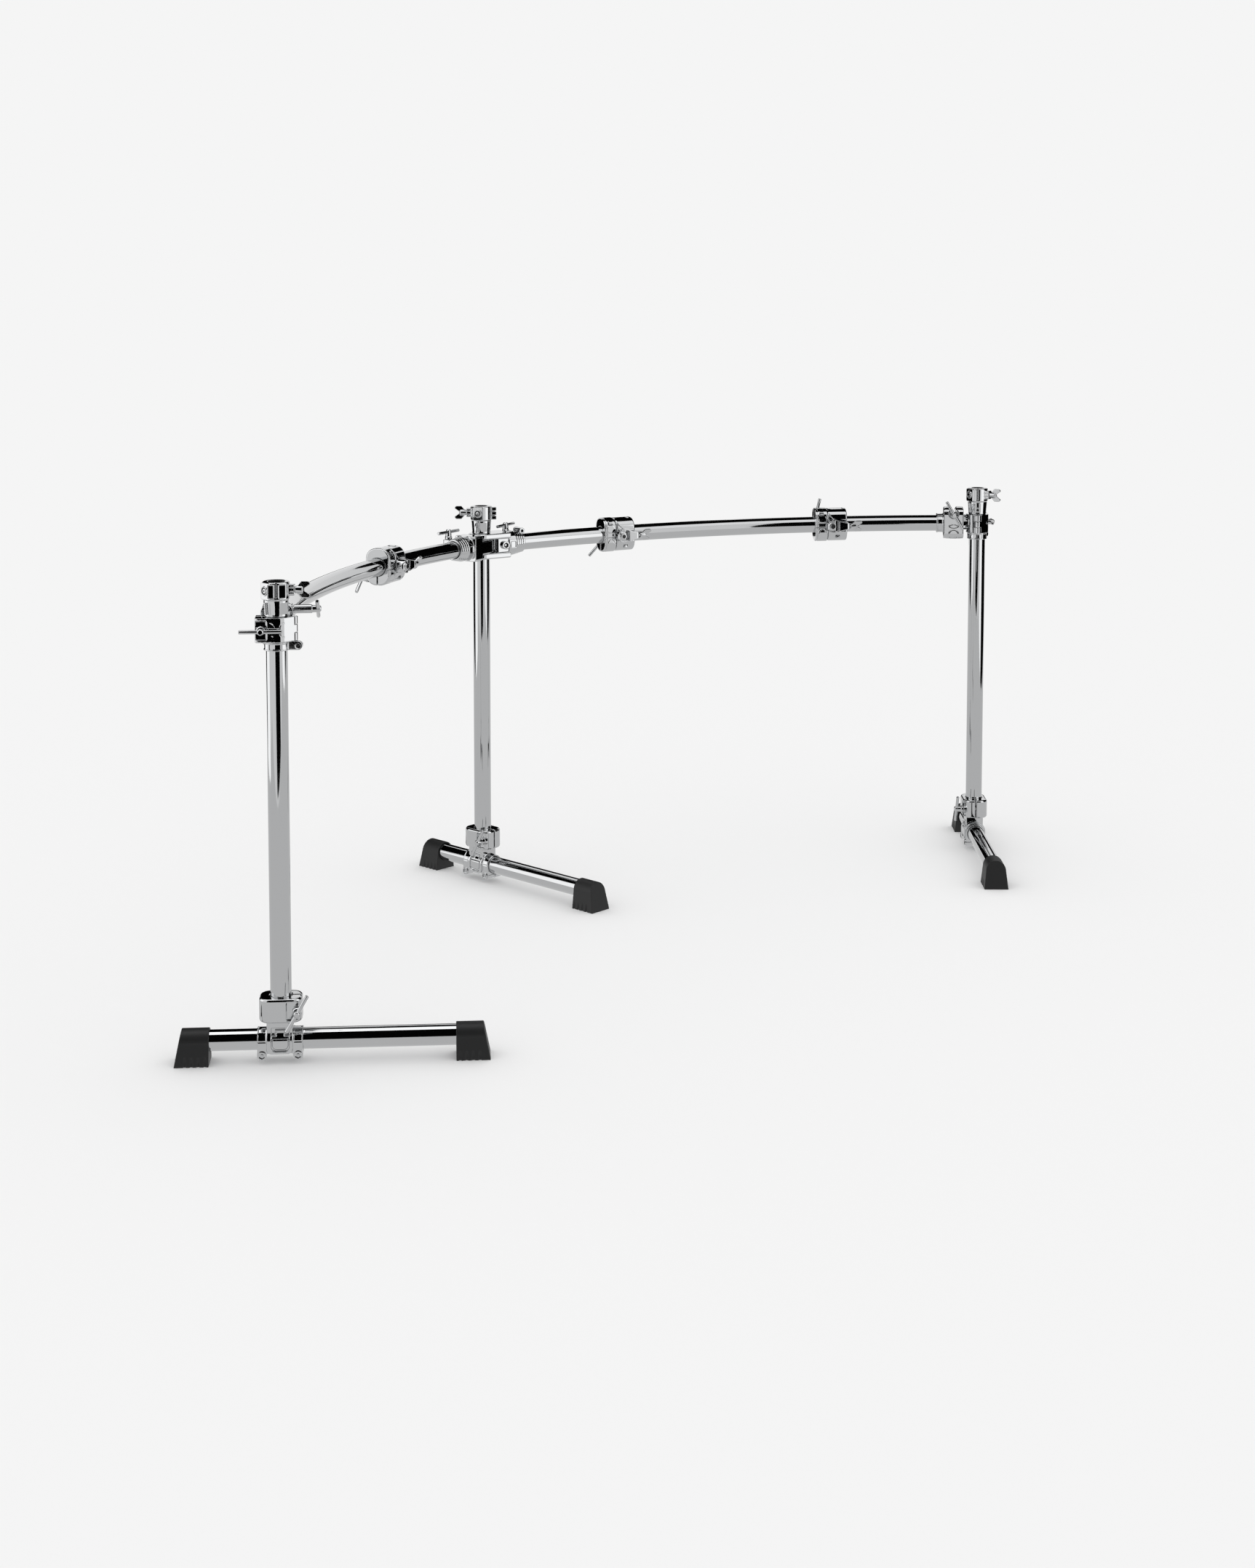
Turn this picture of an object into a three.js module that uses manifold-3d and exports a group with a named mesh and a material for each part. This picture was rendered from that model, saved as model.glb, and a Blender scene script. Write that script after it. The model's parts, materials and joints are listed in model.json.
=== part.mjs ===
// A drum rack frame: three posts on tee feet carry two curved bars that meet at a hub on the centre
// post. Millimetres and degrees. +Z is up, the player sits on the -Y side, and +X runs from the left
// post to the right one.
import * as THREE from "three";
import { mergeVertices } from "three/addons/utils/BufferGeometryUtils.js";
import Module from "manifold-3d";

const wasm = await Module();
wasm.setup();

// The rack's layout
const span = 1204; // between the axes of neighbouring posts
const chordAngle = 117.75; // between the two bars' chords, on the player's side
const barRadius = 1636; // of each bar's bend
const hubHeight = 772; // of the hub's centre over the floor
const leftTeeHeight = 784;
const rightTeeHeight = 788;
const leftBaseHeading = 49.4; // of each foot's long end, turned from the player's direction
const centreBaseHeading = 2;
const rightBaseHeading = -45.4;
const innerMultiSpot = 349; // of the middle of each multi-clamp, along its bar from the hub
const outerMultiSpot = 880;
const leftMultiSpot = 380;

// Tube, the same everywhere, and the room that pieces keep
const tubeDiameter = 38.1;
const tubeWall = 2;
const faceGap = 0.3; // between faces that touch
const slipGap = 0.4; // round a pin or tube that slides or turns
const bendGap = 0.9; // round the bent bar, which bows inside a straight bore
const barEndGap = 1; // of the bar's slanted end from the bottom of its sleeve
const overrun = 1; // of a cut past the face it goes through
const weldTolerance = 0.0001; // within which vertices are one
const tubeSides = 20;
const barSides = 16;
const barSteps = 22;
const pinSides = 8;
const domeSteps = 5;
const cornerSteps = 3;

// Base: a tube with two rubber feet
const baseAxisHeight = 40.1;
const footSpacing = 489.35;
const rearFootShare = 0.311; // of the foot spacing that lies behind the upright
const footHeight = 62.8;
const footTopLength = 49.5;
const footToe = 12.5; // that the sole reaches past the top
const footSoleWidth = 54.6;
const footEndWall = 4;

// Base clamp: a saddle on the base tube and a collar round the upright
const saddleWall = 7;
const saddleBottom = 20;
const bandWall = 3.4; // of the saddle's two end bands
const bandRear = 42;
const bandFront = 39;
const bandLength = 17;
const lugRadius = 9;
const lugBoltHeight = 17;
const lugGap = 8;
const boltDiameter = 7;
const boltHeadDiameter = 13;
const boltHeadLength = 3;
const neckRear = 25;
const neckFront = 21;
const neckDepth = 40;
const collarBottom = 77;
const collarHeight = 44;
const collarWidth = 77;
const collarDepth = 58;
const collarCorner = 20;
const collarKeyReach = 30.5;
const baseKeyTurn = 60;
const slitWidth = 3;

// T-keys and wing bolts
const keyShankDiameter = 7;
const keyHubDiameter = 16;
const keyHubTipDiameter = 12;
const keyHubLength = 22;
const keyBarDiameter = 7;
const keyBarLength = 76;
const keyBarSetback = 6; // of the crossbar from the hub's outer end
const keyThread = 20; // of the shank inside the clamp
const wingHubDiameter = 13;
const wingHubLength = 12;
const wingSpread = 30;
const wingLength = 15;
const wingThickness = 4;
const wingNotchShare = 1 / 3; // of the wings' length that the notch between them leaves

// Top socket
const socketBore = 26;
const socketDepth = 58;
const cupNeckDiameter = 41;
const cupShoulderDiameter = 48;
const cupNeckHeight = 30;
const cupCollarHeight = 32;
const cupSpigotLength = 40;
const cupLugWidth = 16;
const cupLugHeight = 20;
const cupLugReach = 33;
const cupWingDrop = 15; // of the wing bolt below the rim
const cupBossDiameter = 15;
const cupBossReach = 27;
const leftCupLugHeading = -45;
const centreCupLugHeading = 135;
const rightCupLugHeading = -80;
const leftCupBossHeading = 180;
const centreCupBossHeading = -150;
const rightCupBossHeading = 165;

// Tee clamp at each end post
const teeHeight = 44;
const teeWall = 7.5;
const teeKeyOffset = 26.5; // of the post jaw's key from the post axis, on the outer side
const teeEarReach = 37;
const teeEarThickness = 13;
const teeKeySeat = 20; // of the post jaw's key from the split plane
const hingeOffset = 31; // of the jaw hinges from the tube they grip
const hingePinDiameter = 6;
const knuckleDiameter = 13;
const knuckleShare = 1 / 3; // of the hinge's length that the middle knuckle takes
const gripNear = 33; // of the bar grip from the post axis
const gripLength = 47;
const gripHeight = 77;
const gripDepth = 58;
const gripCorner = 16;
const gripKeyRise = 25.5;
const teePostKeyTurn = 0;
const leftTeeBarKeyTurn = 30;
const rightTeeBarKeyTurn = 120;
const gripBossLength = 27; // of the long key's cone
const teeBridgeDepth = 24;
const teeBridgeHeight = 36;

// Memory rings
const ringHeight = 15.5;
const ringDiameter = 46.5;
const ringEarReach = 46;
const ringEarThickness = 14;
const leftRingHeading = -45;
const rightRingHeading = 12;
const barRingLength = 16.5;
const barRingEarReach = 34;

// Hub: the right arm's fork and the left arm's tongue turn on the centre upright
const forkInnerHeight = 32;
const forkPlate = 12.5;
const forkDiameter = 58;
const tongueGap = 0.5;
const webNear = 33;
const armSleeveNear = 60;
const armSleeveLength = 44;
const armSleeveWall = 8;
const barStart = 50; // of the bar tube from the hub's axis
const barEnd = 34; // of the bar tube from the end post's axis
const armEarHeight = 43;
const armEarLength = 24;
const armKeyThread = 30;
const leftArmKeySpot = 84;
const rightArmKeySpot = 80;
const leftArmKeyTurn = 0;
const rightArmKeyTurn = 30;

// Multi-clamps on the bars
const multiRingLength = 30;
const multiRingHeight = 79;
const multiRingDepth = 56;
const multiBodyLength = 46;
const multiBodyHeight = 77;
const multiBodyDepth = 56;
const multiCorner = 18;
const bracketLength = 56;
const bracketHeight = 30;
const bracketDepth = 22;
const bracketCorner = 8;
const bracketRodWidth = 8;
const bracketRodShift = 4; // of the rod's slot toward the bolt head
const bracketRodDepth = 13;
const bracketHeadDiameter = 17.4;
const bracketHeadLength = 3;
const pivotDiameter = 12;
const pivotLength = 8;
const ringKeyThread = 12;
const multiWingTurn = 30;
const lowRingKey = { keySide: -1, keyTurn: 135, keySlide: 0 };
const highRingKey = { keySide: 1, keyTurn: 284, keySlide: -8 };

// The black accessory peg beside the left multi-clamp
const pegDiameter = 30;
const pegLength = 84;
const pegRise = 12;
const pegOutset = 33.5;

const tubeRadius = tubeDiameter / 2;
const postBoreRadius = faceted(tubeRadius + slipGap, tubeSides);
const barBoreRadius = faceted(tubeRadius + bendGap, barSides);
const keyHoleRadius = faceted(keyShankDiameter / 2 + slipGap, pinSides);
const ringKeyHeight = barBoreRadius + keyHoleRadius + slitWidth;
const dip = (180 - chordAngle) / 2;

// The corner radius of a regular polygon whose flats lie at the given radius.
function faceted(radius, sides) {
  return radius / Math.cos(Math.PI / sides);
}

function toSolid(geometry) {
  const plain = geometry.clone();
  plain.deleteAttribute("normal");
  plain.deleteAttribute("uv");
  const merged = mergeVertices(plain, weldTolerance);
  return new wasm.Manifold(
    new wasm.Mesh({
      numProp: 3,
      vertProperties: new Float32Array(merged.attributes.position.array),
      triVerts: new Uint32Array(merged.index.array),
    }),
  );
}

function toGeometry(solid) {
  const { vertProperties, triVerts } = solid.getMesh();
  const geometry = new THREE.BufferGeometry();
  geometry.setAttribute("position", new THREE.BufferAttribute(new Float32Array(vertProperties), 3));
  geometry.setIndex(new THREE.BufferAttribute(new Uint32Array(triVerts), 1));
  return geometry;
}

function join(...geometries) {
  return toGeometry(geometries.map(toSolid).reduce((sum, next) => sum.add(next)));
}

function cut(geometry, ...tools) {
  return toGeometry(tools.map(toSolid).reduce((rest, tool) => rest.subtract(tool), toSolid(geometry)));
}

function keep(geometry, region) {
  return toGeometry(toSolid(geometry).intersect(toSolid(region)));
}

// A box between two opposite corners.
function block([x0, y0, z0], [x1, y1, z1]) {
  return new THREE.BoxGeometry(x1 - x0, y1 - y0, z1 - z0).translate(
    (x0 + x1) / 2,
    (y0 + y1) / 2,
    (z0 + z1) / 2,
  );
}

// A round bar along Z between two heights.
function rod(radius, from, to, sides = tubeSides) {
  return new THREE.CylinderGeometry(radius, radius, to - from, sides)
    .rotateX(Math.PI / 2)
    .translate(0, 0, (from + to) / 2);
}

// An outline extruded along Z between two heights.
function slab(shape, from, to) {
  const settings = { depth: to - from, bevelEnabled: false, curveSegments: cornerSteps };
  return new THREE.ExtrudeGeometry(shape, settings).translate(0, 0, from);
}

// A profile of radius and height turned round the Z axis.
function turned(profile, sides = tubeSides) {
  const points = profile.map(([radius, height]) => new THREE.Vector2(radius, height));
  return new THREE.LatheGeometry(points, sides).rotateX(Math.PI / 2);
}

// A shape built along Z is laid along X: its own x and y become Y and Z.
function alongX(geometry) {
  return geometry.rotateX(Math.PI / 2).rotateZ(Math.PI / 2);
}

// A shape built along Z is laid along Y: its own x and y become Z and X.
function alongY(geometry) {
  return alongX(alongX(geometry));
}

function roundedOutline(width, depth, corner) {
  const x = width / 2 - corner;
  const y = depth / 2 - corner;
  const shape = new THREE.Shape();
  shape.absarc(x, y, corner, 0, Math.PI / 2);
  shape.absarc(-x, y, corner, Math.PI / 2, Math.PI);
  shape.absarc(-x, -y, corner, Math.PI, (3 * Math.PI) / 2);
  shape.absarc(x, -y, corner, (3 * Math.PI) / 2, 2 * Math.PI);
  shape.closePath();
  return shape;
}

// An arch over a tube: a flat foot of the given width and height, and a round top about the tube's axis.
function archOutline(radius, axisHeight, bottom, footWidth) {
  const shape = new THREE.Shape();
  shape.moveTo(-footWidth / 2, bottom);
  shape.lineTo(footWidth / 2, bottom);
  shape.lineTo(radius, axisHeight);
  shape.absarc(0, axisHeight, radius, 0, Math.PI);
  shape.closePath();
  return shape;
}

function metal() {
  return new THREE.MeshStandardMaterial({ color: 0xcfd2d4, roughness: 0.08, metalness: 1 });
}

function rubber() {
  return new THREE.MeshStandardMaterial({ color: 0x151515, roughness: 0.7, metalness: 0 });
}

function piece(name, geometry, material = metal()) {
  geometry.computeVertexNormals();
  const mesh = new THREE.Mesh(geometry, material);
  mesh.name = name;
  return mesh;
}

function straightTube(from, to) {
  const inner = tubeRadius - tubeWall;
  return turned([
    [inner, from],
    [tubeRadius, from],
    [tubeRadius, to],
    [inner, to],
    [inner, from],
  ]);
}

// A T-key along +Z: z = 0 is the face that its hub bears on.
function tKey(thread, turn, cone = 0, slide = 0) {
  const shank = rod(keyShankDiameter / 2, -thread, cone + keyHubLength / 2, pinSides);
  const profile = [
    [0, faceGap],
    [keyHubDiameter / 2, faceGap],
    [keyHubDiameter / 2, cone + keyHubLength / 2],
    [keyHubTipDiameter / 2, cone + keyHubLength],
    [0, cone + keyHubLength],
  ];
  const crossbar = alongX(
    rod(keyBarDiameter / 2, slide - keyBarLength / 2, slide + keyBarLength / 2, pinSides),
  );
  crossbar.rotateZ(THREE.MathUtils.degToRad(turn));
  crossbar.translate(0, 0, cone + keyHubLength - keyBarSetback);
  return join(shank, turned(profile, pinSides), crossbar);
}

// A wing bolt along +Z: z = 0 is the face that its hub bears on.
function wingBolt(thread, turn) {
  const shank = rod(keyShankDiameter / 2, -thread, wingHubLength / 2, pinSides);
  const hub = rod(wingHubDiameter / 2, faceGap, wingHubLength, pinSides);
  const outline = new THREE.Shape();
  const root = wingHubDiameter / 2 - wingThickness / 2;
  outline.moveTo(-root, wingHubLength / 2);
  outline.lineTo(root, wingHubLength / 2);
  outline.lineTo(wingSpread / 2, wingHubLength);
  outline.lineTo(wingSpread / 2, wingHubLength + wingLength);
  outline.lineTo(wingSpread / 2 - wingHubDiameter / 2, wingHubLength + wingLength);
  outline.lineTo(root / 2, wingHubLength + wingLength * wingNotchShare);
  outline.lineTo(-root / 2, wingHubLength + wingLength * wingNotchShare);
  outline.lineTo(wingHubDiameter / 2 - wingSpread / 2, wingHubLength + wingLength);
  outline.lineTo(-wingSpread / 2, wingHubLength + wingLength);
  outline.lineTo(-wingSpread / 2, wingHubLength);
  outline.closePath();
  const wings = slab(outline, -wingThickness / 2, wingThickness / 2).rotateX(Math.PI / 2);
  return join(shank, hub, wings).rotateZ(THREE.MathUtils.degToRad(turn));
}

// Puts a child at a place, with its own Z along a direction and its own X as near as can be to another.
function aim(object, place, direction, sideways) {
  const z = direction.clone().normalize();
  const y = new THREE.Vector3().crossVectors(z, sideways).normalize();
  const x = new THREE.Vector3().crossVectors(y, z);
  object.applyMatrix4(new THREE.Matrix4().makeBasis(x, y, z).setPosition(...place));
  return object;
}

const axisX = new THREE.Vector3(1, 0, 0);
const axisY = new THREE.Vector3(0, 1, 0);
const axisZ = new THREE.Vector3(0, 0, 1);

// Base: +X is the foot's long end, -Y its front

function baseTube() {
  const tip = footTopLength / 2 - footEndWall;
  const rear = -footSpacing * rearFootShare - tip + faceGap;
  const front = footSpacing * (1 - rearFootShare) + tip - faceGap;
  return alongX(straightTube(rear, front)).translate(0, 0, baseAxisHeight);
}

// A rubber foot whose outer end is +X, with its tube's end inside.
function foot() {
  const archRadius = footHeight - baseAxisHeight;
  const half = footTopLength / 2;
  const arch = archOutline(archRadius, baseAxisHeight, 0, footSoleWidth);
  const blank = alongX(slab(arch, -half, half + footToe));
  const wedge = new THREE.Shape();
  wedge.moveTo(half + footToe, 0);
  wedge.lineTo(half + footToe + overrun, 0);
  wedge.lineTo(half + footToe + overrun, footHeight + overrun);
  wedge.lineTo(half, footHeight + overrun);
  wedge.lineTo(half, footHeight);
  wedge.closePath();
  const toeCut = slab(wedge, -footSoleWidth, footSoleWidth).rotateX(Math.PI / 2);
  const bore = rod(faceted(tubeRadius + faceGap, tubeSides), -half - overrun, half - footEndWall);
  return cut(blank, toeCut, alongX(bore).translate(0, 0, baseAxisHeight));
}

function baseClamp() {
  const saddleRadius = tubeRadius + saddleWall;
  const bandRadius = tubeRadius + bandWall;
  const collarTop = collarBottom + collarHeight;
  const saddleOutline = archOutline(saddleRadius, baseAxisHeight, saddleBottom, 2 * saddleRadius);
  const saddle = alongX(slab(saddleOutline, -neckRear, neckFront));
  const bandOutline = archOutline(bandRadius, baseAxisHeight, saddleBottom, 2 * bandRadius);
  const bands = alongX(slab(bandOutline, -bandRear, bandFront));
  const neck = block(
    [-neckRear, -neckDepth / 2, baseAxisHeight],
    [neckFront, neckDepth / 2, collarBottom + overrun],
  );
  const collar = slab(roundedOutline(collarWidth, collarDepth, collarCorner), collarBottom, collarTop);
  let clamp = join(saddle, bands, neck, collar);
  const lugSpots = [bandLength / 2 - bandRear, bandFront - bandLength / 2];
  for (const spot of lugSpots) {
    const lug = alongY(rod(lugRadius, -bandRadius, bandRadius, pinSides));
    const web = block(
      [-bandLength / 2, -bandRadius, lugBoltHeight],
      [bandLength / 2, bandRadius, baseAxisHeight],
    );
    clamp = join(clamp, join(lug.translate(0, 0, lugBoltHeight), web).translate(spot, 0, 0));
  }
  clamp = cut(
    clamp,
    alongX(
      rod(faceted(tubeRadius + slipGap, tubeSides), -bandRear - overrun, bandFront + overrun),
    ).translate(0, 0, baseAxisHeight),
    block(
      [-bandRear - overrun, -lugGap / 2, 0],
      [bandFront + overrun, lugGap / 2, baseAxisHeight],
    ),
    rod(postBoreRadius, collarBottom, collarTop + overrun),
    block(
      [0, -slitWidth / 2, collarBottom - overrun],
      [collarWidth, slitWidth / 2, collarTop + overrun],
    ),
    alongY(rod(keyHoleRadius, -collarDepth, keyThread, pinSides)).translate(
      collarKeyReach,
      0,
      collarBottom + collarHeight / 2,
    ),
  );
  for (const spot of lugSpots) {
    const shank = alongY(rod(boltDiameter / 2, -bandRadius, bandRadius, pinSides));
    const head = alongY(
      rod(boltHeadDiameter / 2, -bandRadius - boltHeadLength, -bandRadius + overrun, pinSides),
    );
    const nut = alongY(
      rod(boltHeadDiameter / 2, bandRadius - overrun, bandRadius + boltHeadLength, pinSides),
    );
    clamp = join(clamp, join(shank, head, nut).translate(spot, 0, lugBoltHeight));
  }
  return clamp;
}

function baseGroup(name, heading) {
  const group = new THREE.Group();
  group.rotation.z = THREE.MathUtils.degToRad(heading - 90);
  group.add(piece(`${name}_base_clamp`, baseClamp()));
  group.add(piece(`${name}_base_tube`, baseTube()));
  const frontFoot = piece(`${name}_front_foot`, foot(), rubber());
  frontFoot.position.x = footSpacing * (1 - rearFootShare);
  const rearFoot = piece(`${name}_rear_foot`, foot(), rubber());
  rearFoot.position.x = -footSpacing * rearFootShare;
  rearFoot.rotation.z = Math.PI;
  const key = piece(`${name}_base_key`, tKey(collarDepth / 2 + keyThread - overrun, baseKeyTurn));
  const place = [collarKeyReach, -collarDepth / 2, collarBottom + collarHeight / 2];
  group.add(frontFoot, rearFoot, aim(key, place, axisY.clone().negate(), axisX));
  return group;
}

// Upright with its top socket

function cup(lugHeading, bossHeading) {
  const rim = cupNeckHeight + cupCollarHeight;
  const spigot = tubeRadius - tubeWall - faceGap;
  const shell = turned([
    [0, -cupSpigotLength],
    [spigot, -cupSpigotLength],
    [spigot, 0],
    [cupNeckDiameter / 2, 0],
    [cupShoulderDiameter / 2, cupNeckHeight],
    [cupShoulderDiameter / 2, rim],
    [socketBore / 2, rim],
    [socketBore / 2, rim - socketDepth],
    [0, rim - socketDepth],
  ]);
  const wallMiddle = (socketBore / 2 + cupShoulderDiameter / 2) / 2;
  const wingHeight = rim - cupWingDrop;
  const lug = block(
    [wallMiddle, -cupLugWidth / 2, wingHeight - cupLugHeight / 2],
    [cupLugReach, cupLugWidth / 2, wingHeight + cupLugHeight / 2],
  );
  const hole = alongX(rod(keyHoleRadius, 0, cupLugReach + overrun, pinSides));
  const boss = alongX(rod(cupBossDiameter / 2, wallMiddle, cupBossReach, pinSides));
  const heading = THREE.MathUtils.degToRad(lugHeading);
  return cut(
    join(
      shell,
      lug.rotateZ(heading),
      boss.translate(0, 0, wingHeight).rotateZ(THREE.MathUtils.degToRad(bossHeading)),
    ),
    hole.translate(0, 0, wingHeight).rotateZ(heading),
  );
}

function postGroup(name, cupBottom, lugHeading, bossHeading) {
  const group = new THREE.Group();
  const upright = straightTube(collarBottom + faceGap, cupBottom - faceGap);
  group.add(piece(`${name}_upright`, upright));
  const socket = piece(`${name}_cup`, cup(lugHeading, bossHeading));
  socket.position.z = cupBottom;
  const heading = THREE.MathUtils.degToRad(lugHeading);
  const outward = new THREE.Vector3(Math.cos(heading), Math.sin(heading), 0);
  const thread = cupLugReach - socketBore / 2 - overrun;
  const bolt = piece(`${name}_cup_wing_bolt`, wingBolt(thread, 0));
  const place = outward.clone().multiplyScalar(cupLugReach);
  place.z = cupBottom + cupNeckHeight + cupCollarHeight - cupWingDrop;
  group.add(socket, aim(bolt, place, outward, axisZ));
  return group;
}

// Bars: each lies on an arc from the hub to its tee, seen in its own frame of chord, outward and up

function beam(side, teeHeight) {
  const heading = THREE.MathUtils.degToRad(side > 0 ? -dip : 180 + dip);
  const rise = teeHeight - hubHeight;
  const chord = Math.hypot(span, rise);
  const halfSweep = Math.asin(chord / 2 / barRadius);
  const along = new THREE.Vector3(Math.cos(heading) * span, Math.sin(heading) * span, rise).normalize();
  const outward = new THREE.Vector3(-Math.sin(heading), Math.cos(heading), 0).multiplyScalar(side);
  const up = new THREE.Vector3().crossVectors(along, outward).multiplyScalar(side);
  const hub = new THREE.Vector3(0, 0, hubHeight);
  const post = new THREE.Vector3(Math.cos(heading) * span, Math.sin(heading) * span, 0);
  const arcLength = 2 * halfSweep * barRadius;
  return { side, teeHeight, chord, halfSweep, along, outward, up, hub, post, arcLength };
}

// The bar's place and directions at a distance along it from the hub.
function onBar(bar, distance) {
  const angle = distance / barRadius - bar.halfSweep;
  const x = bar.chord / 2 + barRadius * Math.sin(angle);
  const y = barRadius * (Math.cos(angle) - Math.cos(bar.halfSweep));
  const place = bar.hub.clone().addScaledVector(bar.along, x).addScaledVector(bar.outward, y);
  const tangent = bar.along.clone().multiplyScalar(Math.cos(angle));
  tangent.addScaledVector(bar.outward, -Math.sin(angle));
  const radial = bar.along.clone().multiplyScalar(Math.sin(angle));
  radial.addScaledVector(bar.outward, Math.cos(angle));
  return { place, tangent, radial };
}

// A clamp frame that stays square to its post: X looks along the bar, away from the post.
function squareFrame(bar, distance, origin, away, sideways) {
  const spot = onBar(bar, distance);
  const x = spot.tangent.clone().multiplyScalar(away);
  const pitch = Math.asin(x.z);
  x.setZ(0).normalize();
  const y = new THREE.Vector3().crossVectors(axisZ, x);
  if (y.dot(spot.radial) * sideways < 0) y.negate();
  const offset = spot.place.clone().sub(origin);
  const matrix = new THREE.Matrix4().makeBasis(x, y, axisZ).setPosition(origin);
  return { matrix, pitch, reach: offset.dot(x), shift: offset.dot(y), lift: offset.z };
}

// A round cut along the bar's direction inside a square clamp frame.
function barBore(frame, back, ahead) {
  return alongX(rod(barBoreRadius, -back, ahead, barSides))
    .rotateY(-frame.pitch)
    .translate(frame.reach, frame.shift, frame.lift);
}

class BarArc extends THREE.Curve {
  constructor(bar) {
    super();
    this.bar = bar;
  }
  getPoint(share, target = new THREE.Vector3()) {
    const distance = barStart + share * (this.bar.arcLength - barStart - barEnd);
    return target.copy(onBar(this.bar, distance).place);
  }
}

function bentTube(bar) {
  const section = new THREE.Shape().absarc(0, 0, tubeRadius, 0, 2 * Math.PI);
  section.holes.push(new THREE.Path().absarc(0, 0, tubeRadius - tubeWall, 0, 2 * Math.PI));
  return new THREE.ExtrudeGeometry(section, {
    steps: barSteps,
    curveSegments: barSides / 2,
    extrudePath: new BarArc(bar),
  });
}

// Tee clamp: X toward the bar, Y inward, its origin on the post axis at the tee's centre

function postShell() {
  return rod(tubeRadius + teeWall, -teeHeight / 2, teeHeight / 2);
}

// The grip's blank in the plane across the bar, centred on the bar's axis.
function gripBlank(frame) {
  return alongX(slab(roundedOutline(gripDepth, gripHeight, gripCorner), gripNear, gripNear + gripLength))
    .translate(0, frame.shift, frame.lift);
}

// Knuckles of a hinge of three along Z: the outer two, or the middle one.
function knuckles(length, middle) {
  const inner = (length * knuckleShare) / 2;
  const radius = knuckleDiameter / 2;
  if (middle) return rod(radius, -inner + faceGap, inner - faceGap, pinSides);
  const upper = rod(radius, inner, length / 2, pinSides);
  const lower = rod(radius, -length / 2, -inner, pinSides);
  const pin = rod(hingePinDiameter / 2, -length / 2, length / 2, pinSides);
  return join(upper, lower, pin);
}

function hingeRoom(length, middle) {
  const inner = (length * knuckleShare) / 2;
  const radius = knuckleDiameter / 2 + slipGap + faceGap;
  if (middle) {
    return join(
      rod(radius, inner - faceGap, length / 2 + overrun, pinSides),
      rod(radius, -length / 2 - overrun, -inner + faceGap, pinSides),
      rod(faceted(hingePinDiameter / 2 + slipGap, pinSides), -length, length, pinSides),
    );
  }
  return rod(radius, -inner, inner, pinSides);
}

function teeBody(frame) {
  const half = slitWidth / 2;
  const tall = gripHeight;
  const shell = keep(
    join(
      postShell(),
      block([half, -teeEarReach, -teeHeight / 2], [teeEarThickness, 0, teeHeight / 2]),
      block([half, 0, -teeHeight / 2], [teeEarThickness, hingeOffset, teeHeight / 2]),
    ),
    block([half, -gripHeight, -tall], [gripNear, gripHeight, tall]),
  );
  const outerGrip = keep(
    gripBlank(frame),
    block([0, -gripDepth, -tall], [gripNear + gripLength, frame.shift - half, tall]),
  );
  const bridge = block(
    [tubeRadius, -teeBridgeDepth, -teeBridgeHeight / 2],
    [gripNear + overrun, 0, teeBridgeHeight / 2],
  );
  const gripHinge = alongX(knuckles(gripLength, false));
  const gripMiddle = gripNear + gripLength / 2;
  const hingeZ = frame.lift - hingeOffset;
  const web = block(
    [gripNear, frame.shift - knuckleDiameter / 2, hingeZ - knuckleDiameter / 2],
    [gripNear + gripLength, frame.shift - half, hingeZ + knuckleDiameter / 2],
  );
  let body = join(shell, outerGrip, bridge, web);
  body = cut(
    body,
    hingeRoom(teeHeight, false).translate(0, hingeOffset, 0),
    alongX(hingeRoom(gripLength, false)).translate(gripMiddle, frame.shift, hingeZ),
  );
  body = join(
    body,
    knuckles(teeHeight, false).translate(0, hingeOffset, 0),
    gripHinge.translate(gripMiddle, frame.shift, hingeZ),
  );
  const slot = keyHoleRadius;
  return cut(
    body,
    rod(postBoreRadius, -tall, tall),
    barBore(frame, gripLength, gripLength),
    block([0, -teeEarReach - overrun, -slot], [teeEarThickness + overrun, slot - teeKeyOffset, slot]),
    block(
      [gripMiddle - slot, -gripDepth, frame.lift + gripKeyRise - slot],
      [gripMiddle + slot, frame.shift, frame.lift + gripHeight],
    ),
  );
}

function postJaw() {
  const half = slitWidth / 2;
  const ear = block([-teeKeySeat, -teeEarReach, -teeHeight / 2], [-half, -tubeRadius, teeHeight / 2]);
  const shoulder = block([-teeEarThickness, 0, -teeHeight / 2], [-half, hingeOffset, teeHeight / 2]);
  const blank = keep(
    join(postShell(), ear, shoulder),
    block([-gripHeight, -gripHeight, -gripHeight], [-half, gripHeight, gripHeight]),
  );
  const opened = cut(blank, hingeRoom(teeHeight, true).translate(0, hingeOffset, 0));
  const jaw = join(opened, knuckles(teeHeight, true).translate(0, hingeOffset, 0));
  return cut(
    jaw,
    rod(postBoreRadius, -teeHeight, teeHeight),
    alongX(rod(keyHoleRadius, -gripHeight, 0, pinSides)).translate(0, -teeKeyOffset, 0),
    rod(faceted(hingePinDiameter / 2 + slipGap, pinSides), -teeHeight, teeHeight, pinSides)
      .translate(0, hingeOffset, 0),
  );
}

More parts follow.
